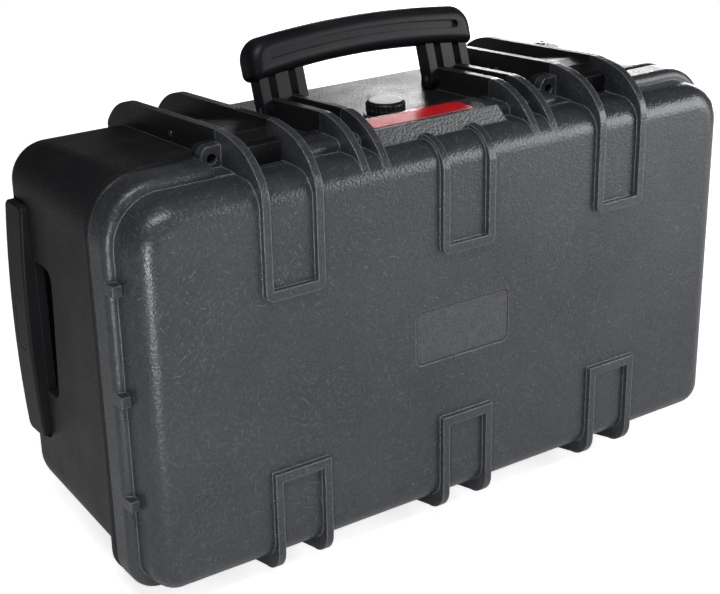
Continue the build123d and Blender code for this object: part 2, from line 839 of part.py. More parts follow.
# Base shell
with BuildPart() as base_shell:
    add(base_outer.part)
    for centre in latch_centres:
        for side in (-1, 1):
            add(latch_fin_back(centre + side * fin_offset))
    for x in handle_fins:
        add(handle_fin_back(x))
    for face_x in hasp_faces:
        add(hasp_plate(face_x, base_y))
    for centre in hinge_centres:
        for side in (-1, 1):
            x = centre + side * base_hinge_offset
            add(base_hinge_plate(x))
            half = hinge_base_plate / 2
            add(rod_along_x(x - half, x + half, hinge_y, hinge_z, knuckle_radius))
    add(rod_along_z(valve_x, valve_y, base_top_at(back_y), valve_boss_top, valve_boss_radius))
    with BuildPart(mode=Mode.PRIVATE) as cavity:
        cavity_front_insets = (opening_inset, opening_top_inset)
        cavity_back_insets = (opening_inset, back_top_inset + base_wall, cavity_corner)
        add(rounded_block(base_y - 1.0, back_y - base_wall, cavity_front_insets, cavity_back_insets))
        fillet(cavity.edges().group_by(Axis.Y)[-1], back_edge_round - base_wall)
    add(cavity.part, mode=Mode.SUBTRACT)
    with BuildPart(mode=Mode.PRIVATE) as inner_walls:
        add(
            box_between(
                recess_x,
                channel_end_x + cover_ledge + corner_wall,
                tunnel_front_y,
                back_y - 0.5,
                channel_low_z - cover_ledge - corner_wall,
                channel_high_z + cover_ledge + corner_wall,
            )
        )
        add(
            box_between(
                -half_width + 8.0,
                recess_x + corner_wall,
                recess_y - corner_wall,
                back_y - 0.5,
                recess_low_z - corner_wall,
                recess_high_z + corner_wall,
            )
        )
        add(
            box_between(
                -half_width + 8.0,
                recess_x + corner_wall,
                tunnel_front_y,
                back_y - 0.5,
                channel_low_z - corner_wall,
                channel_high_z + corner_wall,
            )
        )
        add(
            box_between(
                -half_width + 8.0,
                seat_x + corner_wall,
                bar_front_y - seat_margin - corner_wall,
                back_y - 0.5,
                bar_low_z - seat_margin - corner_wall,
                bar_high_z + seat_margin + corner_wall,
            )
        )
        add(corner_box(1, corner_wall))
        add(corner_box(-1, corner_wall))
        add(base_outer.part, mode=Mode.INTERSECT)
    add(inner_walls.part)
    for side in (-1, 1):
        add(corner_box(side, 0.0), mode=Mode.SUBTRACT)
    add(
        box_between(
            channel_start_x,
            channel_end_x,
            channel_y,
            back_y - channel_skin,
            channel_low_z,
            channel_high_z,
        ),
        mode=Mode.SUBTRACT,
    )
    for z in tube_z_places:
        add(
            box_between(
                seat_x - 1.0,
                channel_start_x + 1.0,
                channel_y,
                back_y - channel_skin,
                z - tunnel_half,
                z + tunnel_half,
            ),
            mode=Mode.SUBTRACT,
        )
    add(
        box_between(
            cover_low_x + cover_ledge,
            channel_end_x,
            channel_y,
            back_y + 1.0,
            channel_low_z,
            channel_high_z,
        ),
        mode=Mode.SUBTRACT,
    )
    add(
        box_between(
            cover_low_x,
            channel_end_x + cover_ledge,
            back_y - cover_plate,
            back_y + 1.0,
            channel_low_z - cover_ledge,
            channel_high_z + cover_ledge,
        ),
        mode=Mode.SUBTRACT,
    )
    with BuildPart(mode=Mode.PRIVATE) as finger_recess:
        with BuildSketch(Plane.YZ.offset(-half_width - 1.0)):
            with BuildLine():
                FilletPolyline(
                    (recess_y, recess_high_z),
                    (recess_y + recess_slant, recess_low_z),
                    (back_y - base_wall, recess_low_z),
                    (back_y - base_wall, recess_high_z),
                    radius=recess_round,
                    close=True,
                )
            make_face()
        extrude(amount=recess_depth + 1.0)
    add(finger_recess.part, mode=Mode.SUBTRACT)
    with BuildPart(mode=Mode.PRIVATE) as bar_seat:
        with BuildSketch(Plane.YZ.offset(-half_width - 1.0)):
            with Locations(((bar_front_y + bar_back_y) / 2, trolley_z)):
                RectangleRounded(grip_bar_depth + 2 * seat_margin, grip_bar_length + 2 * seat_margin, 8.0)
        extrude(amount=seat_x + half_width + 1.0)
    add(bar_seat.part, mode=Mode.SUBTRACT)
    hole_z = mid_z + side_hole_rise
    hole_end_x = base_side_inset + side_hole_depth - half_width
    add(
        rod_along_x(-half_width, hole_end_x, base_y + side_hole_back, hole_z, side_hole_radius),
        mode=Mode.SUBTRACT,
    )
    add(
        rod_along_z(valve_x, valve_y, mid_z, valve_boss_top + 1.0, valve_hole_radius),
        mode=Mode.SUBTRACT,
    )
    add(
        rod_along_z(valve_x, valve_y, valve_boss_top, rim_top + 1.0, valve_boss_radius),
        mode=Mode.SUBTRACT,
    )
    for face_x in hasp_faces:
        add(
            rod_along_y(
                face_x - hasp_hole_side, hasp_hole_z, base_y - 1.0, base_y + 14.0, hasp_hole_radius
            ),
            mode=Mode.SUBTRACT,
        )
    for centre in hinge_centres:
        reach = base_hinge_offset + hinge_base_plate
        add(
            rod_along_x(
                centre - reach,
                centre + reach,
                hinge_y,
                hinge_z,
                hinge_pin_radius + pin_press_clearance,
            ),
            mode=Mode.SUBTRACT,
        )
        for side in (-1, 1):
            x = centre + side * lid_hinge_offset
            half = hinge_plate / 2 + hinge_side_clearance
            add(
                rod_along_x(x - half, x + half, hinge_y, hinge_z, knuckle_radius + knuckle_clearance),
                mode=Mode.SUBTRACT,
            )
    for centre in latch_centres:
        reach = fin_offset + fin_thickness
        add(
            rod_along_x(
                centre - reach,
                centre + reach,
                latch_pivot_y,
                latch_pivot_z,
                latch_pin_radius + pin_press_clearance,
            ),
            mode=Mode.SUBTRACT,
        )
    for side in (-1, 1):
        reach = handle_fin_spacing / 2 + fin_thickness
        x = side * handle_fin_offset
        add(
            rod_along_x(
                x - reach,
                x + reach,
                handle_pivot_y,
                handle_pivot_z,
                handle_pin_radius + pin_press_clearance,
            ),
            mode=Mode.SUBTRACT,
        )
    for x, z in channel_screws:
        add(
            rod_along_y(
                x, z, back_y - screw_length - 2.0, back_y + 1.0, screw_radius + pin_press_clearance
            ),
            mode=Mode.SUBTRACT,
        )
    for y, z in housing_screw_places:
        add(
            rod_along_x(
                corner_x - corner_wall - 1.0,
                corner_x + 1.0,
                y,
                z,
                screw_radius + pin_running_clearance,
            ),
            mode=Mode.SUBTRACT,
        )
        add(
            rod_along_x(
                corner_x - corner_wall - 1.0,
                corner_x - corner_wall + screw_head_height,
                y,
                z,
                screw_head_radius + pin_running_clearance,
            ),
            mode=Mode.SUBTRACT,
        )
base_shell.part.label = "base_shell"
export_step(base_shell.part, "parts/base_shell.step")

# Back cover over the trolley channel
with BuildPart() as back_cover:
    add(
        box_between(
            cover_low_x + 0.2,
            channel_end_x + cover_ledge - 0.2,
            back_y - cover_plate,
            back_y,
            channel_low_z - cover_ledge + 0.2,
            channel_high_z + cover_ledge - 0.2,
        )
    )
    for step in (-1, 0, 1):
        z = trolley_z + step * tube_spacing / 2
        low_x = recess_x + 30.0
        add(box_between(low_x, channel_end_x - 30.0, back_y - 1.0, back_y + 1.5, z - 4.0, z + 4.0))
    for x, z in channel_screws:
        add(
            rod_along_y(
                x, z, back_y - cover_plate - 1.0, back_y + 1.0, screw_radius + pin_running_clearance
            ),
            mode=Mode.SUBTRACT,
        )
        add(
            rod_along_y(
                x,
                z,
                back_y - screw_head_height,
                back_y + 1.0,
                screw_head_radius + pin_running_clearance,
            ),
            mode=Mode.SUBTRACT,
        )
back_cover.part.label = "back_cover"
export_step(back_cover.part, "parts/back_cover.step")

with BuildPart() as cover_screws:
    for x, z in channel_screws:
        add(rod_along_y(x, z, back_y - screw_length, back_y - screw_head_height, screw_radius))
        add(rod_along_y(x, z, back_y - screw_head_height, back_y, screw_head_radius))
        with BuildSketch(Plane.XZ.offset(-back_y)):
            with Locations((x, z)):
                Rectangle(0.9, 1.3 * screw_head_radius)
                Rectangle(1.3 * screw_head_radius, 0.9)
        extrude(amount=0.8, mode=Mode.SUBTRACT)
cover_screws.part.label = "cover_screws"
export_step(cover_screws.part, "parts/cover_screws.step")

# Hinge pins, latch pivot pins and handle pivot pins
with BuildPart() as hinge_pins:
    for centre in hinge_centres:
        reach = lid_hinge_offset + hinge_plate / 2
        add(rod_along_x(centre - reach, centre + reach, hinge_y, hinge_z, hinge_pin_radius))
hinge_pins.part.label = "hinge_pins"
export_step(hinge_pins.part, "parts/hinge_pins.step")

with BuildPart() as latch_pivot_pins:
    for centre in latch_centres:
        reach = fin_offset + fin_thickness / 2 + 0.4
        add(rod_along_x(centre - reach, centre + reach, latch_pivot_y, latch_pivot_z, latch_pin_radius))
latch_pivot_pins.part.label = "latch_pivot_pins"
export_step(latch_pivot_pins.part, "parts/latch_pivot_pins.step")

prong_mid_low = handle_fin_spacing / 2 - fin_thickness / 2 - prong_clearance
prong_out_low = handle_fin_spacing / 2 + fin_thickness / 2 + prong_clearance
with BuildPart() as handle_pivot_pins:
    for side in (-1, 1):
        x = side * handle_fin_offset
        reach = prong_out_low + prong_outer_width
        add(rod_along_x(x - reach, x + reach, handle_pivot_y, handle_pivot_z, handle_pin_radius))
handle_pivot_pins.part.label = "handle_pivot_pins"
export_step(handle_pivot_pins.part, "parts/handle_pivot_pins.step")

# Carry handle: the frame's forks straddle the fins, and its core runs inside the grip
upright_plane = Plane(origin=(0, handle_pivot_y, handle_pivot_z), x_dir=(1, 0, 0), z_dir=(0, -1, 0))
handle_plane = upright_plane.rotated((-handle_lean, 0, 0))
handle_up = Axis(handle_plane.origin, handle_plane.y_dir)
handle_front = Axis(handle_plane.origin, handle_plane.z_dir)
core_rise = grip_bottom_rise + grip_height / 2


def arched_bar(half_length, low_mid, low_end, rise, depth):
    """A bar that arches away from the handle's pivot, with square ends; heights are from the pivot."""
    with BuildPart() as bar:
        with BuildSketch(handle_plane.offset(depth / 2)):
            with BuildLine():
                ThreePointArc((-half_length, low_end), (0, low_mid), (half_length, low_end))
                Line((half_length, low_end), (half_length, low_end + rise))
                ThreePointArc(
                    (half_length, low_end + rise),
                    (0, low_end + rise + grip_arch),
                    (-half_length, low_end + rise),
                )
                Line((-half_length, low_end + rise), (-half_length, low_end))
            make_face()
        extrude(amount=-depth)
    return bar.part


core_low = core_rise - handle_core_height / 2
core_half_length = grip_half_width - grip_round
with BuildPart() as handle_frame:
    add(arched_bar(core_half_length, core_low + grip_arch, core_low, handle_core_height, prong_depth))
    for side in (-1, 1):
        for low, width in (
            (-prong_out_low - prong_inner_width, prong_inner_width),
            (-prong_mid_low, 2 * prong_mid_low),
            (prong_out_low, prong_outer_width),
        ):
            low_x = side * handle_fin_offset + low
            with BuildSketch(Plane.YZ.offset(low_x)):
                with Locations((handle_pivot_y, handle_pivot_z)):
                    Circle(prong_depth / 2)
                    Rectangle(
                        prong_depth, core_rise, rotation=-handle_lean, align=(Align.CENTER, Align.MIN)
                    )
            extrude(amount=width)
    for side in (-1, 1):
        x = side * handle_fin_offset
        reach = prong_out_low + prong_outer_width + 1.0
        add(
            rod_along_x(
                x - reach,
                x + reach,
                handle_pivot_y,
                handle_pivot_z,
                handle_pin_radius + pin_running_clearance,
            ),
            mode=Mode.SUBTRACT,
        )
handle_frame.part.label = "handle_frame"
export_step(handle_frame.part, "parts/handle_frame.step")

with BuildPart() as handle_grip:
    grip_low_mid = grip_bottom_rise + grip_under_arch
    add(arched_bar(grip_half_width, grip_low_mid, grip_bottom_rise, grip_height, grip_depth))
    fillet(handle_grip.edges().filter_by(handle_front).group_by(handle_up)[-1], grip_top_round)
    fillet(handle_grip.edges().filter_by(handle_front).group_by(handle_up)[0], grip_low_round)
    front_edges = handle_grip.edges().group_by(handle_front)[-1]
    rear_edges = handle_grip.edges().group_by(handle_front)[0]
    fillet(front_edges + rear_edges, grip_round)
    groove_mid = core_rise + grip_arch + 1.0
    for side in (-1, 1):
        with BuildSketch(handle_plane.offset(side * grip_depth / 2)):
            with BuildLine(mode=Mode.PRIVATE) as groove_line:
                ThreePointArc(
                    (-groove_reach, groove_mid - groove_drop),
                    (0, groove_mid),
                    (groove_reach, groove_mid - groove_drop),
                )
            SlotArc(groove_line.wires()[0], groove_height)
        extrude(amount=-side * groove_depth, mode=Mode.SUBTRACT)
    add(handle_frame.part, mode=Mode.SUBTRACT)
handle_grip.part.label = "handle_grip"
export_step(handle_grip.part, "parts/handle_grip.step")

# Latches: a cover-shaped lever on the base fins, and a claw on a link pin inside it
latch_width = rib_gap - 2 * latch_side_clearance
lever_front_y = seam_y - latch_front_reach
lever_top = rim_top + latch_top_rise
lever_low = rim_top + latch_low_rise
claw_boss_radius = hinge_pin_radius + 1.6
boss_radius = 6.0
link_y = base_y + latch_link_back
link_z = lever_top - latch_link_drop
for side_name, centre in (("left", -latch_offset), ("right", latch_offset)):
    with BuildPart() as lever:
        with BuildSketch(Plane.YZ.offset(centre - latch_width / 2)):
            with BuildLine():
                Polyline(
                    (lever_front_y, notch_floor + 1.0),
                    (lever_front_y, lever_top - 7.5),
                    (lever_front_y + 10.5, lever_top - 7.0),
                    (lever_front_y + 16.5, lever_top - 1.0),
                    (lever_front_y + 34.0, lever_top),
                    (latch_pivot_y, latch_pivot_z + boss_radius),
                )
                ThreePointArc(
                    (latch_pivot_y, latch_pivot_z + boss_radius),
                    (latch_pivot_y + boss_radius, latch_pivot_z),
                    (latch_pivot_y, latch_pivot_z - boss_radius + 1.5),
                )
                Polyline(
                    (latch_pivot_y, latch_pivot_z - boss_radius + 1.5),
                    (latch_pivot_y - boss_radius, latch_pivot_z),
                    (base_y + flare_length, lever_low),
                    (lever_front_y + latch_front_wall, lever_low),
                    (lever_front_y + latch_front_wall, notch_floor + 1.0),
                    (lever_front_y, notch_floor + 1.0),
                )
            make_face()
        extrude(amount=latch_width)
        with BuildSketch(Plane.YZ.offset(centre - latch_width / 2 + latch_cheek)):
            with BuildLine():
                Polyline(
                    (lever_front_y + latch_front_wall, notch_floor),
                    (lever_front_y + latch_front_wall, lever_top - 7.0 - latch_plate),
                    (lever_front_y + 11.5, lever_top - 7.0 - latch_plate),
                    (lever_front_y + 17.5, lever_top - 1.0 - latch_plate),
                    (lever_front_y + 34.0, lever_top - latch_plate),
                    (latch_pivot_y - 2 * boss_radius, latch_pivot_z + boss_radius - 1.5),
                    (latch_pivot_y - 2 * boss_radius, notch_floor),
                    close=True,
                )
            make_face()
        extrude(amount=latch_width - 2 * latch_cheek, mode=Mode.SUBTRACT)
        reach = latch_width
        add(
            rod_along_x(
                centre - reach,
                centre + reach,
                latch_pivot_y,
                latch_pivot_z,
                latch_pin_radius + pin_running_clearance,
            ),
            mode=Mode.SUBTRACT,
        )
        add(
            rod_along_x(
                centre - latch_width / 2 + 1.0,
                centre + latch_width / 2 - 1.0,
                link_y,
                link_z,
                hinge_pin_radius + pin_press_clearance,
            ),
            mode=Mode.SUBTRACT,
        )
    lever.part.label = "latch_lever_" + side_name
    export_step(lever.part, "parts/latch_lever_" + side_name + ".step")

    with BuildPart() as link_pin:
        reach = latch_width / 2 - 1.0
        add(rod_along_x(centre - reach, centre + reach, link_y, link_z, hinge_pin_radius))
    link_pin.part.label = "latch_link_pin_" + side_name
    export_step(link_pin.part, "parts/latch_link_pin_" + side_name + ".step")

    claw_width = latch_width - 2 * latch_cheek - 2 * claw_side_clearance
    claw_low = rim_top + claw_low_rise
    claw_front = lever_front_y + latch_front_wall + 1.0
    with BuildPart() as claw:
        with BuildSketch(Plane.YZ.offset(centre - claw_width / 2)):
            with Locations((link_y, link_z)):
                Circle(claw_boss_radius)
            with BuildLine():
                Polyline(
                    (link_y, link_z + 2.5),
                    (link_y, claw_low),
                    (claw_front + 9.0, claw_low),
                    (claw_front + 4.5, claw_low - 3.5),
                    (claw_front + 3.0, claw_low - 8.2),
                    (claw_front, claw_low - 8.2),
                    (claw_front, claw_low + 0.4),
                    (claw_front + 7.0, claw_low + 0.4),
                    (claw_front + 11.0, claw_low + 4.0),
                    close=True,
                )
            make_face()
        extrude(amount=claw_width)
        reach = latch_width
        add(
            rod_along_x(
                centre - reach,
                centre + reach,
                link_y,
                link_z,
                hinge_pin_radius + pin_running_clearance,
            ),
            mode=Mode.SUBTRACT,
        )
    claw.part.label = "latch_claw_" + side_name
    export_step(claw.part, "parts/latch_claw_" + side_name + ".step")

# Purge valve
flange_top = valve_boss_top + valve_flange_thickness
knob_low = flange_top + valve_knob_gap
cavity_top_at_valve = base_top_at(valve_y) - base_wall - 6.0
with BuildPart() as valve_seat:
    add(rod_along_z(valve_x, valve_y, valve_boss_top, flange_top, valve_flange_radius))
    add(
        rod_along_z(
            valve_x,
            valve_y,
            cavity_top_at_valve,
            valve_boss_top,
            valve_hole_radius - pin_running_clearance,
        )
    )
    add(
        rod_along_z(
            valve_x,
            valve_y,
            cavity_top_at_valve,
            flange_top + 1.0,
            valve_stem_radius + pin_running_clearance,
        ),
        mode=Mode.SUBTRACT,
    )
    with BuildSketch(Plane.XY.offset(valve_boss_top)):
        with Locations((valve_x, valve_y)):
            Circle(valve_hole_radius + 3.0)
            Circle(valve_hole_radius + 1.0, mode=Mode.SUBTRACT)
    extrude(amount=0.9, mode=Mode.SUBTRACT)
valve_seat.part.label = "valve_seat"
export_step(valve_seat.part, "parts/valve_seat.step")

with BuildPart() as valve_ring:
    with BuildSketch(Plane.XY.offset(valve_boss_top)):
        with Locations((valve_x, valve_y)):
            Circle(valve_hole_radius + 3.0)
            Circle(valve_hole_radius + 1.0, mode=Mode.SUBTRACT)
    extrude(amount=0.9)
valve_ring.part.label = "valve_ring"
export_step(valve_ring.part, "parts/valve_ring.step")

with BuildPart() as valve_knob:
    add(rod_along_z(valve_x, valve_y, knob_low, knob_low + valve_knob_height, valve_knob_radius))
    fillet(valve_knob.edges().group_by(Axis.Z)[-1], valve_knob_round)
    with BuildSketch(Plane.XY.offset(knob_low + valve_knob_height)):
        with Locations((valve_x, valve_y)):
            with PolarLocations(valve_knob_radius + 0.8, 24):
                Circle(1.3)
    extrude(amount=-(valve_knob_height - 2.0), mode=Mode.SUBTRACT)
    add(rod_along_z(valve_x, valve_y, cavity_top_at_valve + 3.0, knob_low + 1.0, valve_stem_radius))
valve_knob.part.label = "valve_knob"
export_step(valve_knob.part, "parts/valve_knob.step")

# Trolley tubes, from the fixed outer pair to the inner pair that carries the grip
tube_mid_height = tube_height - 2 * tube_wall - 2 * tube_clearance
tube_mid_depth = tube_depth - 2 * tube_wall - 2 * tube_clearance
tube_in_height = tube_mid_height - 2 * tube_wall - 2 * tube_clearance
tube_in_depth = tube_mid_depth - 2 * tube_wall - 2 * tube_clearance
tube_start_x = guide_x + guide_thickness / 2
tube_end_x = channel_end_x - 6.0


def tube_pair(low_x, high_x, height, depth, corner):
    """Two rounded rectangular bars along X, one at each tube's place."""
    with BuildPart() as pair:
        with BuildSketch(Plane.YZ.offset(low_x)):
            for z in tube_z_places:
                with Locations((tube_y, z)):
                    RectangleRounded(depth, height, corner)
        extrude(amount=high_x - low_x)
    return pair.part


def hollow_pair(low_x, high_x, height, depth, corner):
    """Two tubes along X, open at both ends."""
    with BuildPart() as pair:
        add(tube_pair(low_x, high_x, height, depth, corner))
        add(
            tube_pair(
                low_x - 1.0,
                high_x + 1.0,
                height - 2 * tube_wall,
                depth - 2 * tube_wall,
                corner - tube_wall,
            ),
            mode=Mode.SUBTRACT,
        )
    return pair.part


with BuildPart() as outer_tubes:
    add(hollow_pair(tube_start_x, tube_end_x, tube_height, tube_depth, tube_corner))
outer_tubes.part.label = "trolley_outer_tubes"
export_step(outer_tubes.part, "parts/trolley_outer_tubes.step")

# Guides in the two tunnels, which hold the outer tubes and guide the middle ones
fit = pin_press_clearance
slide = collar_clearance
with BuildPart() as tube_guides:
    for z in tube_z_places:
        guide_end_x = guide_x + guide_thickness
        guide_back_y = back_y - channel_skin
        add(box_between(guide_x, guide_end_x, channel_y, guide_back_y, z - tunnel_half, z + tunnel_half))
    add(
        tube_pair(
            tube_start_x,
            guide_x + guide_thickness + 1.0,
            tube_height + 2 * fit,
            tube_depth + 2 * fit,
            tube_corner + fit,
        ),
        mode=Mode.SUBTRACT,
    )
    add(
        tube_pair(
            guide_x - 1.0,
            tube_start_x + 1.0,
            tube_mid_height + 2 * slide,
            tube_mid_depth + 2 * slide,
            tube_corner - 1.0 + slide,
        ),
        mode=Mode.SUBTRACT,
    )
tube_guides.part.label = "tube_guides"
export_step(tube_guides.part, "parts/tube_guides.step")

# Blocks that close the outer tubes' far ends
with BuildPart() as end_blocks:
    block_start_x = tube_end_x - tube_end_block / 2
    for z in tube_z_places:
        low_z = z - tunnel_half
        high_z = z + tunnel_half
        add(box_between(block_start_x, channel_end_x, channel_y, back_y - cover_plate, low_z, high_z))
    add(
        tube_pair(
            block_start_x - 1.0,
            tube_end_x,
            tube_height + 2 * fit,
            tube_depth + 2 * fit,
            tube_corner + fit,
        ),
        mode=Mode.SUBTRACT,
    )
end_blocks.part.label = "trolley_end_blocks"
export_step(end_blocks.part, "parts/trolley_end_blocks.step")

# Middle tubes with a collar at each tip
collar_end_x = guide_x - 0.3
collar_start_x = collar_end_x - collar_length
middle_tip_x = collar_start_x + 1.5
middle_end_x = tube_end_x - 12.0
with BuildPart() as middle_tubes:
    add(hollow_pair(middle_tip_x, middle_end_x, tube_mid_height, tube_mid_depth, tube_corner - 1.0))
middle_tubes.part.label = "trolley_middle_tubes"
export_step(middle_tubes.part, "parts/trolley_middle_tubes.step")

with BuildPart() as middle_collars:
    add(tube_pair(collar_start_x, collar_end_x, tube_height, tube_depth, tube_corner))
    add(
        tube_pair(
            middle_tip_x,
            guide_x,
            tube_mid_height + 2 * fit,
            tube_mid_depth + 2 * fit,
            tube_corner - 1.0 + fit,
        ),
        mode=Mode.SUBTRACT,
    )
    add(
        tube_pair(
            collar_start_x - 1.0,
            guide_x,
            tube_in_height + 2 * slide,
            tube_in_depth + 2 * slide,
            tube_corner - 2.0 + slide,
        ),
        mode=Mode.SUBTRACT,
    )
middle_collars.part.label = "middle_tube_collars"
export_step(middle_collars.part, "parts/middle_tube_collars.step")

# Pull grip: an outer shell, and a cover behind it whose two sockets hold the inner tubes
bar_face_x = -grip_bar_reach
bar_inner_x = seat_x - grip_bar_clearance
bar_mid_y = (bar_front_y + bar_back_y) / 2
socket_end_x = collar_start_x - socket_gap
inner_tip_x = bar_inner_x - socket_grip
inner_end_x = middle_end_x - 12.0
yoke_half = tube_spacing / 2 + 2 * rod_radius
screw_offset = tube_spacing / 2 - grip_screw_inset
screw_y = bar_mid_y - grip_screw_shift
button_back_x = bar_face_x + button_depth
yoke_back_x = button_back_x + yoke_thickness


def bowed_bar(low_x, high_x):
    """The bar's body between two X planes, with its outer face bowed outwards."""
    with BuildPart() as bar:
        with BuildSketch(Plane.XZ.offset(-bar_front_y)):
            with BuildLine():
                ThreePointArc(
                    (bar_face_x + grip_bar_bow, bar_low_z),
                    (bar_face_x, trolley_z),
                    (bar_face_x + grip_bar_bow, bar_high_z),
                )
                Polyline(
                    (bar_face_x + grip_bar_bow, bar_high_z),
                    (bar_inner_x, bar_high_z),
                    (bar_inner_x, bar_low_z),
                    (bar_face_x + grip_bar_bow, bar_low_z),
                )
            make_face()
        extrude(amount=-grip_bar_depth)
        fillet(bar.edges().filter_by(Axis.X), grip_bar_corner)
        fillet(bar.edges().group_by(Axis.X)[0], grip_bar_round)
        add(
            box_between(
                low_x,
                high_x,
                bar_front_y - 5.0,
                bar_back_y + 5.0,
                bar_low_z - 5.0,
                bar_high_z + 5.0,
            ),
            mode=Mode.INTERSECT,
        )
    return bar.part


with BuildPart() as grip_shell:
    add(bowed_bar(bar_face_x - 1.0, -grip_split_x))
    with BuildSketch(Plane.YZ.offset(bar_face_x - 1.0)):
        with Locations((bar_mid_y, trolley_z)):
            RectangleRounded(
                button_width + 2 * button_clearance, button_length + 2 * button_clearance, 6.0
            )
    extrude(amount=20.0, mode=Mode.SUBTRACT)
    add(
        box_between(
            button_back_x - 1.0,
            -grip_split_x + 1.0,
            bar_mid_y - button_width / 2,
            tube_y + rod_radius + yoke_clearance,
            trolley_z - yoke_half - yoke_clearance,
            trolley_z + yoke_half + yoke_clearance,
        ),
        mode=Mode.SUBTRACT,
    )
    for side in (-1, 1):
        z = trolley_z + side * screw_offset
        add(
            rod_along_x(-grip_split_x - 5.0, -grip_split_x + 1.0, screw_y, z, screw_radius - 0.5 + fit),
            mode=Mode.SUBTRACT,
        )
grip_shell.part.label = "pull_grip_shell"
export_step(grip_shell.part, "parts/pull_grip_shell.step")

with BuildPart() as grip_cover:
    add(bowed_bar(-grip_split_x, bar_inner_x + 1.0))
    for z in tube_z_places:
        half_socket = tube_height / 2 + socket_wall
        low_y = tube_y - tube_depth / 2 - socket_wall
        high_y = tube_y + tube_depth / 2 + socket_wall
        add(box_between(bar_inner_x - 1.0, socket_end_x, low_y, high_y, z - half_socket, z + half_socket))
    add(
        tube_pair(
            inner_tip_x,
            socket_end_x + 1.0,
            tube_in_height + 2 * fit,
            tube_in_depth + 2 * fit,
            tube_corner - 2.0,
        ),
        mode=Mode.SUBTRACT,
    )
    add(
        box_between(
            -grip_split_x - 1.0,
            yoke_back_x + button_travel + 0.4,
            bar_mid_y - button_width / 2,
            tube_y + rod_radius + yoke_clearance,
            trolley_z - yoke_half - yoke_clearance,
            trolley_z + yoke_half + yoke_clearance,
        ),
        mode=Mode.SUBTRACT,
    )
    for z in tube_z_places:
        add(
            rod_along_x(-grip_split_x, inner_tip_x + 1.0, tube_y, z, rod_radius + 0.4),
            mode=Mode.SUBTRACT,
        )
    for side in (-1, 1):
        z = trolley_z + side * screw_offset
        add(
            rod_along_x(-grip_split_x - 1.0, bar_inner_x + 1.0, screw_y, z, screw_radius - 0.5 + fit),
            mode=Mode.SUBTRACT,
        )
        add(
            rod_along_x(bar_inner_x - screw_head_height, bar_inner_x + 1.0, screw_y, z, 3.0 + fit),
            mode=Mode.SUBTRACT,
        )
grip_cover.part.label = "pull_grip_cover"
export_step(grip_cover.part, "parts/pull_grip_cover.step")

with BuildPart() as grip_screws:
    for side in (-1, 1):
        z = trolley_z + side * screw_offset
        add(rod_along_x(-grip_split_x - 5.0, bar_inner_x, screw_y, z, screw_radius - 0.5))
        add(rod_along_x(bar_inner_x - screw_head_height, bar_inner_x, screw_y, z, 3.0))
        with BuildSketch(Plane.YZ.offset(bar_inner_x)):
            with Locations((screw_y, z)):
                Rectangle(0.8, 4.0)
                Rectangle(4.0, 0.8)
        extrude(amount=-0.7, mode=Mode.SUBTRACT)
grip_screws.part.label = "pull_grip_screws"
export_step(grip_screws.part, "parts/pull_grip_screws.step")

with BuildPart() as inner_tubes:
    add(hollow_pair(inner_tip_x, inner_end_x, tube_in_height, tube_in_depth, tube_corner - 2.0))
inner_tubes.part.label = "trolley_inner_tubes"
export_step(inner_tubes.part, "parts/trolley_inner_tubes.step")

# Release button in the pull grip, with its yoke and two rods
with BuildPart() as pull_button:
    with BuildSketch(Plane.YZ.offset(bar_face_x + 0.2)):
        with Locations((bar_mid_y, trolley_z)):
            RectangleRounded(button_width, button_length, 5.7)
    extrude(amount=button_depth - 0.2)
    fillet(pull_button.edges().group_by(Axis.X)[0], 0.8)
pull_button.part.label = "pull_button"
export_step(pull_button.part, "parts/pull_button.step")

with BuildPart() as release_rods:
    add(
        box_between(
            button_back_x,
            yoke_back_x,
            bar_mid_y - 4.0,
            tube_y + rod_radius,
            trolley_z - yoke_half,
            trolley_z + yoke_half,
        )
    )
    for z in tube_z_places:
        add(rod_along_x(yoke_back_x - 1.0, inner_end_x - 5.0, tube_y, z, rod_radius))
release_rods.part.label = "release_rods"
export_step(release_rods.part, "parts/release_rods.step")

# Base padding and dividers
liner_back_y = tunnel_front_y - liner_rest_gap
liner_front_y = base_y + liner_front_gap
liner_side_inset = opening_inset + liner_gap + 1.5
liner_top_inset = back_top_inset + base_wall + liner_gap + 0.5
pack_low_x = recess_x + corner_wall + liner_gap + liner_side
pack_high_x = half_width - liner_side_inset - liner_side
pack_low_z = foot_height + liner_top_inset + liner_side
pack_high_z = rim_top - liner_top_inset - liner_side
pack_back_y = liner_back_y - liner_floor
with BuildPart() as base_liner:
    liner_insets = (liner_side_inset, liner_top_inset, cavity_corner)
    extrude(rim_outline(liner_front_y, *liner_insets), amount=liner_front_y - liner_back_y)
    add(
        box_between(pack_low_x, pack_high_x, liner_front_y - 1.0, pack_back_y, pack_low_z, pack_high_z),
        mode=Mode.SUBTRACT,
    )
    for side in (-1, 1):
        reach = corner_wall + liner_gap
        with BuildPart(mode=Mode.PRIVATE) as pad:
            add(corner_box(side, reach + liner_side))
            add(
                box_between(
                    pack_low_x,
                    pack_high_x + 1.0,
                    liner_front_y,
                    liner_back_y,
                    pack_low_z - 1.0,
                    pack_high_z + 1.0,
                ),
                mode=Mode.INTERSECT,
            )
        add(pad.part)
        add(corner_box(side, reach), mode=Mode.SUBTRACT)
    add(
        box_between(
            -half_width,
            recess_x + corner_wall + liner_gap,
            recess_y - corner_wall - liner_gap,
            back_y,
            bar_low_z - seat_margin - corner_wall - liner_gap,
            bar_high_z + seat_margin + corner_wall + liner_gap,
        ),
        mode=Mode.SUBTRACT,
    )
base_liner.part.label = "base_liner"
export_step(base_liner.part, "parts/base_liner.step")

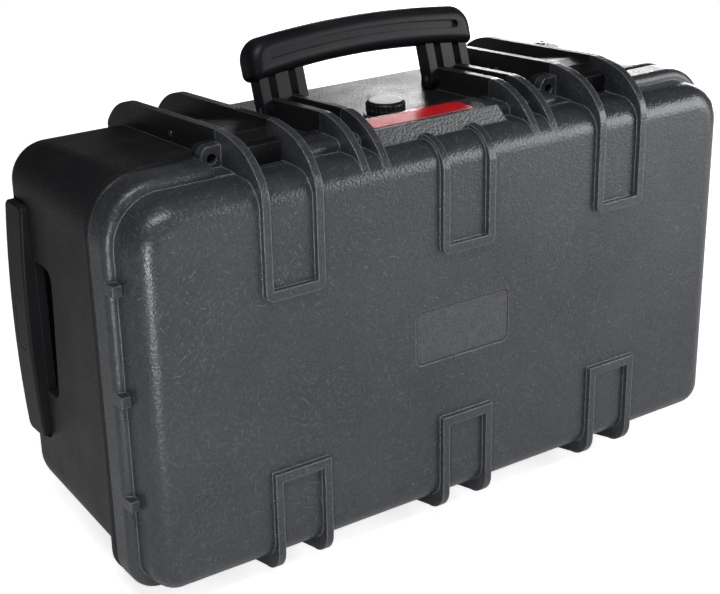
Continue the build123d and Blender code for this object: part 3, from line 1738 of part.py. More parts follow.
divider_gap = 0.3
divider_front_y = liner_front_y + 4.0
with BuildPart() as long_divider:
    add(
        box_between(
            pack_low_x + divider_gap,
            pack_high_x - divider_gap,
            divider_front_y,
            pack_back_y - divider_gap,
            mid_z - divider_thickness / 2,
            mid_z + divider_thickness / 2,
        )
    )
    fillet(long_divider.edges().filter_by(Axis.X).group_by(Axis.Y)[0], 3.0)
long_divider.part.label = "long_divider"
export_step(long_divider.part, "parts/long_divider.step")

pack_mid_x = (pack_low_x + pack_high_x) / 2
with BuildPart() as short_dividers:
    for column in (-1, 0, 1):
        for row in (-1, 1):
            low = mid_z + row * (divider_thickness / 2 + divider_gap)
            high = pack_high_z - divider_gap if row > 0 else pack_low_z + divider_gap
            ends = sorted((low, high))
            x = pack_mid_x + column * divider_step
            add(
                box_between(
                    x - divider_thickness / 2,
                    x + divider_thickness / 2,
                    divider_front_y,
                    pack_back_y - divider_gap,
                    ends[0],
                    ends[1],
                )
            )
    fillet(short_dividers.edges().filter_by(Axis.Z).group_by(Axis.Y)[0], 3.0)
short_dividers.part.label = "short_dividers"
export_step(short_dividers.part, "parts/short_dividers.step")

# Wheel corners: housing, axle bolt, nut, washers, bearings, hub and tyre
for corner_name, side in (("upper", 1), ("lower", -1)):
    wheel_z = mid_z + side * wheel_mid_rise
    well_half = wheel_width / 2 + wheel_side_gap
    well_radius = wheel_radius + wheel_well_gap
    outer_top = mid_z + side * (rim_height / 2 - back_top_inset)
    boss_end = outer_top + side * (axle_boss_rise + 1.0)
    inner_face = mid_z + side * (corner_rise + 0.2)
    with BuildPart() as housing:
        add(corner_box(side, -0.2))
        add(base_outer.part, mode=Mode.INTERSECT)
        boss_ends = sorted((wheel_z + side * (well_half + 1.0), boss_end))
        add(rod_along_z(axle_x, axle_y, boss_ends[0], boss_ends[1], axle_boss_radius))
        add(
            rod_along_z(axle_x, axle_y, wheel_z - well_half, wheel_z + well_half, well_radius),
            mode=Mode.SUBTRACT,
        )
        add(
            box_between(
                axle_x,
                half_width + 10.0,
                axle_y - well_radius,
                back_y + 10.0,
                wheel_z - well_half,
                wheel_z + well_half,
            ),
            mode=Mode.SUBTRACT,
        )
        add(
            box_between(
                axle_x - well_radius,
                axle_x + 1.0,
                axle_y,
                back_y + 10.0,
                wheel_z - well_half,
                wheel_z + well_half,
            ),
            mode=Mode.SUBTRACT,
        )
        hole_ends = sorted((inner_face, boss_end + side * 1.0))
        add(
            rod_along_z(axle_x, axle_y, hole_ends[0], hole_ends[1], axle_radius + pin_press_clearance),
            mode=Mode.SUBTRACT,
        )
        with BuildSketch(Plane.XY.offset(inner_face)):
            with Locations((axle_x, axle_y)):
                RegularPolygon(nut_radius + pin_running_clearance, 6)
        extrude(amount=side * (nut_height + 0.2), mode=Mode.SUBTRACT)
        for y, z in housing_screw_places:
            if (z - mid_z) * side > 0:
                add(
                    rod_along_x(
                        corner_x, corner_x + screw_reach, y, z, screw_radius + pin_press_clearance
                    ),
                    mode=Mode.SUBTRACT,
                )
    housing.part.label = "wheel_housing_" + corner_name
    export_step(housing.part, "parts/wheel_housing_" + corner_name + ".step")

    with BuildPart() as axle:
        shaft_ends = sorted((inner_face + side * 0.4, boss_end))
        add(rod_along_z(axle_x, axle_y, shaft_ends[0], shaft_ends[1], axle_radius))
        head_ends = sorted((boss_end, boss_end + side * bolt_head_height))
        add(rod_along_z(axle_x, axle_y, head_ends[0], head_ends[1], bolt_head_radius))
        with BuildSketch(Plane.XY.offset(boss_end + side * bolt_head_height)):
            with Locations((axle_x, axle_y)):
                RegularPolygon(3.4, 6)
        extrude(amount=-side * 2.5, mode=Mode.SUBTRACT)
    axle.part.label = "wheel_axle_" + corner_name
    export_step(axle.part, "parts/wheel_axle_" + corner_name + ".step")

    bearing_low = wheel_z - wheel_width / 2 + 1.0
    bearing_high = wheel_z + wheel_width / 2 - 1.0 - bearing_width
    with BuildPart() as bearings:
        for low_z in (bearing_low, bearing_high):
            add(rod_along_z(axle_x, axle_y, low_z, low_z + bearing_width, bearing_radius))
            add(
                rod_along_z(
                    axle_x,
                    axle_y,
                    low_z - 1.0,
                    low_z + bearing_width + 1.0,
                    axle_radius + pin_running_clearance,
                ),
                mode=Mode.SUBTRACT,
            )
    bearings.part.label = "wheel_bearings_" + corner_name
    export_step(bearings.part, "parts/wheel_bearings_" + corner_name + ".step")

    hub_radius = wheel_radius - tyre_thickness
    with BuildPart() as hub:
        add(
            rod_along_z(
                axle_x,
                axle_y,
                wheel_z - wheel_width / 2 + 1.0,
                wheel_z + wheel_width / 2 - 1.0,
                hub_radius,
            )
        )
        add(
            rod_along_z(
                axle_x,
                axle_y,
                wheel_z - wheel_width,
                wheel_z + wheel_width,
                axle_radius + 2.0,
            ),
            mode=Mode.SUBTRACT,
        )
        for low_z in (bearing_low, bearing_high):
            add(
                rod_along_z(axle_x, axle_y, low_z, low_z + bearing_width, bearing_radius),
                mode=Mode.SUBTRACT,
            )
        with BuildSketch(Plane.XY.offset(wheel_z - wheel_width)):
            with Locations((axle_x, axle_y)):
                with PolarLocations((bearing_radius + hub_radius) / 2, 5):
                    Circle(4.6)
        extrude(amount=2 * wheel_width, mode=Mode.SUBTRACT)
    hub.part.label = "wheel_hub_" + corner_name
    export_step(hub.part, "parts/wheel_hub_" + corner_name + ".step")

    with BuildPart() as tyre:
        add(
            rod_along_z(
                axle_x, axle_y, wheel_z - wheel_width / 2, wheel_z + wheel_width / 2, wheel_radius
            )
        )
        fillet(tyre.edges(), 4.0)
        add(
            rod_along_z(axle_x, axle_y, wheel_z - wheel_width, wheel_z + wheel_width, hub_radius),
            mode=Mode.SUBTRACT,
        )
    tyre.part.label = "wheel_tyre_" + corner_name
    export_step(tyre.part, "parts/wheel_tyre_" + corner_name + ".step")

with BuildPart() as wheel_nuts:
    for side in (-1, 1):
        nut_low = mid_z + side * (corner_rise + 0.4)
        with BuildSketch(Plane.XY.offset(nut_low)):
            with Locations((axle_x, axle_y)):
                RegularPolygon(nut_radius, 6)
                Circle(axle_radius + pin_press_clearance, mode=Mode.SUBTRACT)
        extrude(amount=side * (nut_height - 0.2))
wheel_nuts.part.label = "wheel_nuts"
export_step(wheel_nuts.part, "parts/wheel_nuts.step")

with BuildPart() as wheel_spacers:
    for side in (-1, 1):
        wheel_z = mid_z + side * wheel_mid_rise
        for face in (-1, 1):
            ends = sorted((wheel_z + face * (wheel_width / 2 - 0.7), wheel_z + face * well_half))
            with BuildSketch(Plane.XY.offset(ends[0])):
                with Locations((axle_x, axle_y)):
                    Circle(axle_radius + 2.5)
                    Circle(axle_radius + pin_press_clearance, mode=Mode.SUBTRACT)
            extrude(amount=ends[1] - ends[0])
wheel_spacers.part.label = "wheel_spacers"
export_step(wheel_spacers.part, "parts/wheel_spacers.step")

with BuildPart() as housing_screws:
    head_x = corner_x - corner_wall
    for y, z in housing_screw_places:
        add(rod_along_x(head_x, corner_x + screw_reach, y, z, screw_radius))
        add(rod_along_x(head_x, head_x + screw_head_height, y, z, screw_head_radius))
housing_screws.part.label = "housing_screws"
export_step(housing_screws.part, "parts/housing_screws.step")
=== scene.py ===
import math

import bmesh
import bpy
from mathutils import Matrix, Vector, noise


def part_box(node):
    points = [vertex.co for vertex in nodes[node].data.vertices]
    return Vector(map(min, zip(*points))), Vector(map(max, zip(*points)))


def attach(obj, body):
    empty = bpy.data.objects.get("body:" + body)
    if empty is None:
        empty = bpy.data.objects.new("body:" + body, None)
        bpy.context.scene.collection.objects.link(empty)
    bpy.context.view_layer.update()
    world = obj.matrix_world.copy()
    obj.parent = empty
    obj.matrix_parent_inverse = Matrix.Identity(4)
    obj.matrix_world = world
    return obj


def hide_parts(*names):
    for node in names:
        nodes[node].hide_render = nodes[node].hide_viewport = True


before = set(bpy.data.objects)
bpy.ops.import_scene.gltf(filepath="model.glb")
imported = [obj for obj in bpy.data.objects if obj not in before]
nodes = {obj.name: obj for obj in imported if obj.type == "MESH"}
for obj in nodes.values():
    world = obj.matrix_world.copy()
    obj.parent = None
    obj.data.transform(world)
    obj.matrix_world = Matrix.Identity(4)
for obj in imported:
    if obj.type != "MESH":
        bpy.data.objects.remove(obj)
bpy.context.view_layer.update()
print("frame loaded with", len(nodes), "nodes")


# small helpers for objects and shader trees
def addObject(name, data):
    thing = bpy.data.objects.new(name, data)
    bpy.context.scene.collection.objects.link(thing)
    return thing


def newGroup(name, inputs, outputs):
    tree = bpy.data.node_groups.new(name, "ShaderNodeTree")
    for label, kind, value in inputs:
        socket = tree.interface.new_socket(name=label, in_out="INPUT", socket_type=kind)
        socket.default_value = value
    for label, kind in outputs:
        tree.interface.new_socket(name=label, in_out="OUTPUT", socket_type=kind)
    return tree, tree.nodes.new("NodeGroupInput"), tree.nodes.new("NodeGroupOutput")


def plug(tree, value, socket):
    if isinstance(value, (int, float, tuple)):
        socket.default_value = value
    else:
        tree.links.new(value, socket)


def calc(tree, operation, first, second=None, third=None):
    node = tree.nodes.new("ShaderNodeMath")
    node.operation = operation
    for index, value in enumerate((first, second, third)):
        if value is not None:
            plug(tree, value, node.inputs[index])
    return node.outputs[0]


def vectorCalc(tree, operation, first, second=None, scale=None):
    node = tree.nodes.new("ShaderNodeVectorMath")
    node.operation = operation
    plug(tree, first, node.inputs[0])
    if second is not None:
        plug(tree, second, node.inputs[1])
    if scale is not None:
        plug(tree, scale, node.inputs["Scale"])
    return node.outputs["Value" if operation == "DOT_PRODUCT" else "Vector"]


def axes(tree, vector):
    split = tree.nodes.new("ShaderNodeSeparateXYZ")
    tree.links.new(vector, split.inputs[0])
    return split.outputs


def fade(tree, value, low, high, start=0.0, end=1.0):
    node = tree.nodes.new("ShaderNodeMapRange")
    node.interpolation_type = "SMOOTHSTEP"
    plug(tree, value, node.inputs["Value"])
    ends = (("From Min", low), ("From Max", high), ("To Min", start), ("To Max", end))
    for label, number in ends:
        plug(tree, number, node.inputs[label])
    return node.outputs[0]


def mixColour(tree, amount, first, second):
    node = tree.nodes.new("ShaderNodeMix")
    node.data_type = "RGBA"
    plug(tree, amount, node.inputs["Factor"])
    plug(tree, first, node.inputs[6])  # the colour A
    plug(tree, second, node.inputs[7])  # the colour B
    return node.outputs[2]


def mixNumber(tree, amount, first, second):
    node = tree.nodes.new("ShaderNodeMix")
    plug(tree, amount, node.inputs["Factor"])
    plug(tree, first, node.inputs["A"])
    plug(tree, second, node.inputs["B"])
    return node.outputs[0]


def mixShader(tree, amount, first, second):
    node = tree.nodes.new("ShaderNodeMixShader")
    for index, value in enumerate((amount, first, second)):
        plug(tree, value, node.inputs[index])
    return node.outputs[0]


def noiseValue(tree, vector, scale, detail, rough):
    node = tree.nodes.new("ShaderNodeTexNoise")
    plug(tree, vector, node.inputs["Vector"])
    plug(tree, scale, node.inputs["Scale"])
    node.inputs["Detail"].default_value = detail
    node.inputs["Roughness"].default_value = rough
    return node.outputs["Fac"]


# camera, at the photograph's place
camera = {
    "place": (-0.66296, -0.94968, 0.62507),
    "turn": 0.594908,
    "tilt": -0.388801,
    "roll": -0.020201,
    "lens": 76.15,
    "sensor": 36,
    "nearest": 0.05,
    "farthest": 50,
}
cameraData = bpy.data.cameras.new("camera")
cameraData.sensor_width = camera["sensor"]
cameraData.sensor_fit = "HORIZONTAL"
cameraData.lens = camera["lens"]
cameraData.clip_start = camera["nearest"]
cameraData.clip_end = camera["farthest"]
cameraObject = addObject("camera", cameraData)
cameraObject.matrix_world = (
    Matrix.Translation(camera["place"])
    @ Matrix.Rotation(-camera["turn"], 4, "Z")
    @ Matrix.Rotation(math.pi / 2 + camera["tilt"], 4, "X")
    @ Matrix.Rotation(camera["roll"], 4, "Z")
)
bpy.context.scene.camera = cameraObject
bpy.context.scene.view_settings.view_transform = "Standard"
print("camera set")


# soft panels, each at a distance from the middle of the case and facing it
panelAim = (0.0, 0.0, 0.16)
panels = {
    "frontPanel": {"toward": (1.15, -1.0, 0.36), "distance": 1.5, "size": (1.0, 0.8), "power": 16},
    "topStrip": {"toward": (-0.32, -0.46, 0.76), "distance": 1.7, "size": (1.0, 0.2), "power": 15},
    "edgeCard": {
        "toward": (-0.72, -0.70, -0.02), "distance": 0.85, "size": (0.05, 0.3), "power": 2.1,
    },
    "backFill": {"toward": (1.2, 1.0, 0.12), "distance": 2.0, "size": (1.1, 0.8), "power": 26},
    "backWindow": {
        "toward": (0.556, 0.786, 0.27), "distance": 2.6, "size": (0.42, 0.55), "power": 4.0,
    },
}


def addPanel(name, panel):
    data = bpy.data.lights.new(name, "AREA")
    data.shape = "RECTANGLE"
    data.size, data.size_y = panel["size"]
    data.energy = panel["power"]
    lamp = addObject(name, data)
    away = Vector(panel["toward"]).normalized()
    lamp.location = Vector(panelAim) + away * panel["distance"]
    lamp.rotation_mode = "QUATERNION"
    lamp.rotation_quaternion = away.to_track_quat("Z", "Y")
    lamp.visible_camera = False


for name, panel in panels.items():
    addPanel(name, panel)


# the room: white for the camera, dim light on the case, and what gloss reflects,
# which is white low down and a dark ceiling above
room = {
    "seen": 1.0,
    "colour": (0.93, 0.96, 1.0, 1),
    "ambient": 0.06,
    "ceiling": (-0.06, 0.04, 1.0, 0.03),
}


def setWorld():
    world = bpy.data.worlds.new("studio")
    bpy.context.scene.world = world
    world.use_nodes = True
    tree = world.node_tree
    tree.nodes.clear()
    out = tree.nodes.new("ShaderNodeOutputWorld")
    seen, lighting, reflected = (tree.nodes.new("ShaderNodeBackground") for _ in range(3))
    seen.inputs["Strength"].default_value = room["seen"]
    lighting.inputs["Color"].default_value = room["colour"]
    lighting.inputs["Strength"].default_value = room["ambient"]
    height = axes(tree, tree.nodes.new("ShaderNodeTexCoord").outputs["Generated"])["Z"]
    plug(tree, fade(tree, height, *room["ceiling"]), reflected.inputs["Strength"])
    rays = tree.nodes.new("ShaderNodeLightPath").outputs
    glossy = calc(tree, "MAXIMUM", rays["Is Glossy Ray"], rays["Is Transmission Ray"])
    under = mixShader(tree, glossy, lighting.outputs[0], reflected.outputs[0])
    surface = mixShader(tree, rays["Is Camera Ray"], under, seen.outputs[0])
    tree.links.new(surface, out.inputs["Surface"])


setWorld()


# white floor: it keeps the shadow, and the camera sees it lifted towards white
floorLook = {"size": 14, "shade": (0.8, 0.8, 0.8, 1), "lift": 0.75}


def addFloor():
    mesh = bpy.data.meshes.new("floor")
    shape = bmesh.new()
    bmesh.ops.create_grid(shape, x_segments=1, y_segments=1, size=floorLook["size"])
    shape.to_mesh(mesh)
    shape.free()
    floor = addObject("floor", mesh)
    mat = bpy.data.materials.new("floorWhite")
    mat.use_nodes = True
    tree = mat.node_tree
    tree.nodes.clear()
    out = tree.nodes.new("ShaderNodeOutputMaterial")
    matte = tree.nodes.new("ShaderNodeBsdfDiffuse")
    lift = tree.nodes.new("ShaderNodeEmission")
    both = tree.nodes.new("ShaderNodeAddShader")
    rays = tree.nodes.new("ShaderNodeLightPath").outputs
    matte.inputs["Color"].default_value = floorLook["shade"]
    amount = calc(tree, "MULTIPLY", rays["Is Camera Ray"], floorLook["lift"])
    tree.links.new(amount, lift.inputs["Strength"])
    tree.links.new(matte.outputs[0], both.inputs[0])
    tree.links.new(lift.outputs[0], both.inputs[1])
    tree.links.new(both.outputs[0], out.inputs["Surface"])
    mesh.materials.append(mat)


addFloor()
print("studio lit")


# In the dictionaries of looks, a noise is (scale, detail, roughness), a range is
# (from, to) or (from, to, start, end), and a bump is (strength, distance).

# edge wear and painted edge highlight: found where the rounded normal leaves the flat one, in
# broken patches
edgeLook = {
    "samples": 4,
    "turn": (0.995, 0.86),
    "patch": (260.0, 4.0, 0.65),
    "patchShare": 0.9,
    "patchSpread": 0.12,
}


def makeEdgeWearAndHighlight():
    tree, given, result = newGroup(
        "edgeWearAndHighlight",
        [("Width", "NodeSocketFloat", 0.001), ("Breakup", "NodeSocketFloat", 0.5)],
        [("Mask", "NodeSocketFloat"), ("Normal", "NodeSocketVector")],
    )
    coords = tree.nodes.new("ShaderNodeTexCoord").outputs["Object"]
    flat = tree.nodes.new("ShaderNodeNewGeometry")
    soft = tree.nodes.new("ShaderNodeBevel")
    soft.samples = edgeLook["samples"]
    tree.links.new(given.outputs["Width"], soft.inputs["Radius"])
    turn = vectorCalc(tree, "DOT_PRODUCT", soft.outputs[0], flat.outputs["Normal"])
    edge = fade(tree, turn, *edgeLook["turn"])
    patch = noiseValue(tree, coords, *edgeLook["patch"])
    middle = calc(tree, "MULTIPLY", given.outputs["Breakup"], edgeLook["patchShare"])
    low = calc(tree, "SUBTRACT", middle, edgeLook["patchSpread"])
    high = calc(tree, "ADD", middle, edgeLook["patchSpread"])
    worn = fade(tree, patch, low, high)
    tree.links.new(calc(tree, "MULTIPLY", edge, worn), result.inputs["Mask"])
    tree.links.new(soft.outputs[0], result.inputs["Normal"])
    return tree


# moulded grain: pebbles with a fine noise on them, wide clouds and small flecks
grainLook = {
    "smoothness": 0.6,
    "fineDetail": 2.0,
    "fineRough": 0.6,
    "fineShare": 0.35,
    "clouds": (9.0, 3.0, 0.55),
    "flecks": (330.0, 4.0, 0.7),
}


def makeGrain():
    tree, given, result = newGroup(
        "mouldedGrain",
        [("Pebble Scale", "NodeSocketFloat", 700.0), ("Fine Scale", "NodeSocketFloat", 2200.0)],
        [(label, "NodeSocketFloat") for label in ("Height", "Variation", "Flecks")],
    )
    coords = tree.nodes.new("ShaderNodeTexCoord").outputs["Object"]
    cells = tree.nodes.new("ShaderNodeTexVoronoi")
    cells.feature = "SMOOTH_F1"
    cells.inputs["Smoothness"].default_value = grainLook["smoothness"]
    tree.links.new(coords, cells.inputs["Vector"])
    tree.links.new(given.outputs["Pebble Scale"], cells.inputs["Scale"])
    fine = noiseValue(
        tree, coords, given.outputs["Fine Scale"], grainLook["fineDetail"], grainLook["fineRough"]
    )
    pebbles = calc(tree, "SUBTRACT", 1.0, cells.outputs["Distance"])
    height = calc(tree, "MULTIPLY_ADD", fine, grainLook["fineShare"], pebbles)
    tree.links.new(height, result.inputs["Height"])
    tree.links.new(noiseValue(tree, coords, *grainLook["clouds"]), result.inputs["Variation"])
    tree.links.new(noiseValue(tree, coords, *grainLook["flecks"]), result.inputs["Flecks"])
    return tree


# handling scuffs: short turned strokes in several sizes, busier in some places
fullTurn = 6.2832
scuffLook = {
    "facing": 0.72,  # how squarely a face looks along X or Z to count as a side or a top
    "layers": (
        {"scale": 110.0, "shift": 3.1, "halfLength": 0.42, "halfWidth": 0.050},
        {"scale": 160.0, "shift": 11.7, "halfLength": 0.38, "halfWidth": 0.070},
        {"scale": 60.0, "shift": 23.3, "halfLength": 0.46, "halfWidth": 0.024},
        {"scale": 230.0, "shift": 31.9, "halfLength": 0.34, "halfWidth": 0.10},
    ),
    "slant": 0.7,
    "lengths": (0.7, 0.3),  # the part of a stroke's length that varies, and the rest
    "fullPart": 0.4,
    "bow": 0.06,
    "core": 0.25,
    "haze": (22.0, 5.0, 0.6),
    "busy": (0.34, 0.62, 0.35, 1.0),
}


def flatCoords(tree):
    # object coordinates laid flat on whichever main plane the surface faces
    coords = tree.nodes.new("ShaderNodeTexCoord")
    place = axes(tree, coords.outputs["Object"])
    facing = axes(tree, vectorCalc(tree, "ABSOLUTE", coords.outputs["Normal"]))
    onSide = calc(tree, "GREATER_THAN", facing["X"], scuffLook["facing"])
    onTop = calc(tree, "GREATER_THAN", facing["Z"], scuffLook["facing"])
    both = tree.nodes.new("ShaderNodeCombineXYZ")
    tree.links.new(mixNumber(tree, onSide, place["X"], place["Y"]), both.inputs["X"])
    tree.links.new(mixNumber(tree, onTop, place["Z"], place["Y"]), both.inputs["Y"])
    return both.outputs[0]


def strokes(tree, vector, layer):
    grown = vectorCalc(tree, "SCALE", vector, scale=layer["scale"])
    shift = (layer["shift"], layer["shift"] * scuffLook["slant"], 0.0)
    moved = vectorCalc(tree, "ADD", grown, shift)
    cells = tree.nodes.new("ShaderNodeTexVoronoi")
    cells.voronoi_dimensions = "2D"
    cells.inputs["Scale"].default_value = 1.0
    tree.links.new(moved, cells.inputs["Vector"])
    chance = tree.nodes.new("ShaderNodeSeparateColor")
    tree.links.new(cells.outputs["Color"], chance.inputs[0])
    turned = tree.nodes.new("ShaderNodeVectorRotate")
    turned.rotation_type = "Z_AXIS"
    away = vectorCalc(tree, "SUBTRACT", moved, cells.outputs["Position"])
    tree.links.new(away, turned.inputs["Vector"])
    tree.links.new(calc(tree, "MULTIPLY", chance.outputs[0], fullTurn), turned.inputs["Angle"])
    along = axes(tree, turned.outputs[0])
    varied, fixed = (layer["halfLength"] * part for part in scuffLook["lengths"])
    length = calc(tree, "MULTIPLY_ADD", chance.outputs[1], varied, fixed)
    fullLength = calc(tree, "MULTIPLY", length, scuffLook["fullPart"])
    ends = fade(tree, calc(tree, "ABSOLUTE", along["X"]), length, fullLength)
    bow = calc(tree, "MULTIPLY", calc(tree, "POWER", along["X"], 2.0), scuffLook["bow"])
    side = calc(tree, "ABSOLUTE", calc(tree, "ADD", along["Y"], bow))
    line = fade(tree, side, layer["halfWidth"], layer["halfWidth"] * scuffLook["core"])
    return calc(tree, "MULTIPLY", calc(tree, "MULTIPLY", line, ends), chance.outputs[2])


def makeScuffs():
    tree, given, result = newGroup(
        "handlingScuffs",
        [("Density", "NodeSocketFloat", 1.0)],
        [("Mask", "NodeSocketFloat"), ("Haze", "NodeSocketFloat")],
    )
    flat = flatCoords(tree)
    total = None
    for layer in scuffLook["layers"]:
        mask = strokes(tree, flat, layer)
        total = mask if total is None else calc(tree, "MAXIMUM", total, mask)
    coords = tree.nodes.new("ShaderNodeTexCoord").outputs["Object"]
    haze = noiseValue(tree, coords, *scuffLook["haze"])
    busy = calc(tree, "MULTIPLY", total, fade(tree, haze, *scuffLook["busy"]))
    tree.links.new(calc(tree, "MULTIPLY", busy, given.outputs["Density"]), result.inputs["Mask"])
    tree.links.new(haze, result.inputs["Haze"])
    return tree


# settled dust: specks and a thin film, on faces that look up
dustLook = {
    "level": (0.55, 1.0),
    "speckNoise": (900.0, 2.0, 0.7),
    "specks": (0.64, 0.78),
    "speckShare": 0.7,
    "filmNoise": (30.0, 4.0, 0.6),
    "film": (0.4, 0.75),
    "filmShare": 0.25,
}


def makeDust():
    tree, given, result = newGroup(
        "settledDust",
        [("Amount", "NodeSocketFloat", 0.3)],
        [("Mask", "NodeSocketFloat")],
    )
    coords = tree.nodes.new("ShaderNodeTexCoord").outputs
    level = fade(tree, axes(tree, coords["Normal"])["Z"], *dustLook["level"])
    specks = noiseValue(tree, coords["Object"], *dustLook["speckNoise"])
    specks = calc(tree, "MULTIPLY", fade(tree, specks, *dustLook["specks"]), dustLook["speckShare"])
    film = noiseValue(tree, coords["Object"], *dustLook["filmNoise"])
    film = calc(tree, "MULTIPLY", fade(tree, film, *dustLook["film"]), dustLook["filmShare"])
    lying = calc(tree, "MULTIPLY", calc(tree, "ADD", specks, film), level)
    tree.links.new(calc(tree, "MULTIPLY", lying, given.outputs["Amount"]), result.inputs["Mask"])
    return tree


groups = {"edge": makeEdgeWearAndHighlight(), "grain": makeGrain(), "scuffs": makeScuffs(), "dust": makeDust()}
print("shader groups made")


def useGroup(tree, key, **values):
    node = tree.nodes.new("ShaderNodeGroup")
    node.node_tree = groups[key]
    for label, value in values.items():
        node.inputs[label.replace("_", " ")].default_value = value
    return node.outputs


def newMaterial(name, plain=None):
    mat = bpy.data.materials.new(name)
    mat.use_nodes = True
    tree = mat.node_tree
    shader = tree.nodes["Principled BSDF"]
    for label, value in (plain or {}).items():
        shader.inputs[label].default_value = value
    return mat, tree, shader


def objectCoords(tree):
    return tree.nodes.new("ShaderNodeTexCoord").outputs["Object"]


def scaled(colour, amount):
    return tuple(channel * amount for channel in colour) + (1.0,)


def cloudy(tree, value, colour, shades):
    darker, lighter = (scaled(colour, shade) for shade in shades)
    return mixColour(tree, fade(tree, value, 0.3, 0.7), darker, lighter)


def overlay(tree, mask, amount, tone, colour):
    return mixColour(tree, calc(tree, "MULTIPLY", mask, amount), tone, colour)


def addBump(tree, shader, height, bumpSize, normal=None):
    bump = tree.nodes.new("ShaderNodeBump")
    bump.inputs["Strength"].default_value, bump.inputs["Distance"].default_value = bumpSize
    tree.links.new(height, bump.inputs["Height"])
    if normal is not None:
        tree.links.new(normal, bump.inputs["Normal"])
    tree.links.new(bump.outputs[0], shader.inputs["Normal"])


# moulded plastics
plasticTones = {
    "fineScale": 3.1,
    "shades": (0.86, 1.14),
    "fleckRange": (0.42, 0.72, 0.0, 0.5),
    "fleck": 1.75,
    # on the plastics the pale worn edge colour is partly real wear and partly a painted highlight
    # along the rounded edges
    "worn": (0.21, 0.21, 0.215, 1),
    "dusty": (0.32, 0.31, 0.29, 1),
    "hazeRange": (0.3, 0.7),
    "smoother": 0.05,
    "rougher": 0.06,
    "scuffRough": -0.1,
    "dustRough": 0.4,
    "bumpDistance": 0.0004,
}


def plastic(name, look):
    mat, tree, shader = newMaterial(name, {"Specular IOR Level": look["shine"]})
    fine = look["pebble"] * plasticTones["fineScale"]
    grain = useGroup(tree, "grain", Pebble_Scale=look["pebble"], Fine_Scale=fine)
    edge = useGroup(tree, "edge", Width=look["edge"], Breakup=look["breakup"])
    scuffs = useGroup(tree, "scuffs", Density=look["scuffs"])
    dust = useGroup(tree, "dust", Amount=look["dust"])
    flecks = fade(tree, grain["Flecks"], *plasticTones["fleckRange"])
    tone = cloudy(tree, grain["Variation"], look["colour"], plasticTones["shades"])
    tone = mixColour(tree, flecks, tone, scaled(look["colour"], plasticTones["fleck"]))
    tone = mixColour(tree, scuffs["Mask"], tone, scaled(look["colour"], look["scuffTone"]))
    # rounded edges paled: partly real wear, partly a painted highlight
    tone = overlay(tree, edge["Mask"], look["wear"], tone, plasticTones["worn"])
    tone = mixColour(tree, dust["Mask"], tone, plasticTones["dusty"])
    tree.links.new(tone, shader.inputs["Base Color"])
    low, high = look["rough"] - plasticTones["smoother"], look["rough"] + plasticTones["rougher"]
    rough = fade(tree, scuffs["Haze"], *plasticTones["hazeRange"], low, high)
    rough = calc(tree, "MULTIPLY_ADD", scuffs["Mask"], plasticTones["scuffRough"], rough)
    rough = calc(tree, "MULTIPLY_ADD", dust["Mask"], plasticTones["dustRough"], rough)
    tree.links.new(rough, shader.inputs["Roughness"])
    raised = calc(tree, "MULTIPLY_ADD", scuffs["Mask"], look["scuffDepth"], grain["Height"])
    bumpSize = (look["grain"], plasticTones["bumpDistance"])
    addBump(tree, shader, raised, bumpSize, edge["Normal"])
    return mat


plasticLooks = {
    "lidPlastic": {
        "colour": (0.030, 0.032, 0.037), "rough": 0.29, "shine": 0.5, "pebble": 520.0,
        "grain": 0.45, "edge": 0.0014, "breakup": 0.3, "wear": 1.0,
        "scuffs": 1.1, "scuffTone": 3.2, "scuffDepth": 0.3, "dust": 0.1,
    },
    # the base's colour is kept darker than the lid's: painted shade for the base's side and top
    # faces
    "baseShadedPlastic": {
        "colour": (0.0115, 0.0119, 0.0133), "rough": 0.42, "shine": 0.3, "pebble": 520.0,
        "grain": 0.6, "edge": 0.0010, "breakup": 0.36, "wear": 0.5,
        "scuffs": 0.5, "scuffTone": 2.2, "scuffDepth": 0.3, "dust": 0.12,
    },
    "latchPlastic": {
        "colour": (0.0065, 0.0067, 0.0075), "rough": 0.34, "shine": 0.3, "pebble": 1100.0,
        "grain": 0.25, "edge": 0.0007, "breakup": 0.42, "wear": 0.5,
        "scuffs": 0.35, "scuffTone": 2.4, "scuffDepth": 0.2, "dust": 0.08,
    },
    "guidePlastic": {
        "colour": (0.028, 0.028, 0.030), "rough": 0.40, "shine": 0.5, "pebble": 1400.0,
        "grain": 0.15, "edge": 0.0005, "breakup": 0.42, "wear": 0.3,
        "scuffs": 0.25, "scuffTone": 2.0, "scuffDepth": 0.2, "dust": 0.05,
    },
    "valvePlastic": {
        "colour": (0.008, 0.008, 0.009), "rough": 0.34, "shine": 0.3, "pebble": 1500.0,
        "grain": 0.15, "edge": 0.0006, "breakup": 0.42, "wear": 0.4,
        "scuffs": 0.3, "scuffTone": 2.2, "scuffDepth": 0.2, "dust": 0.04,
    },
}
materials = {name: plastic(name, look) for name, look in plasticLooks.items()}


# soft-touch overmould with faint moulded joints across it
aboveZero = 2.0  # added to a place, so that a repeated wave never starts below zero
gripTones = {
    "pebble": 1500.0,
    "fine": 4200.0,
    "edge": 0.0007,
    "breakup": 0.5,
    "dust": 0.2,
    "joint": (0.0, 0.0007, 1.0, 0.0),
    "shades": (0.85, 1.2),
    "wear": 0.4,
    "worn": (0.12, 0.12, 0.125, 1),
    "dusty": (0.3, 0.29, 0.27, 1),
    "roughRange": (0.2, 0.8),
    "smoother": 0.04,
    "rougher": 0.06,
    "grainShare": 0.2,
    "bump": (0.6, 0.0005),
    "shine": 0.18,
}


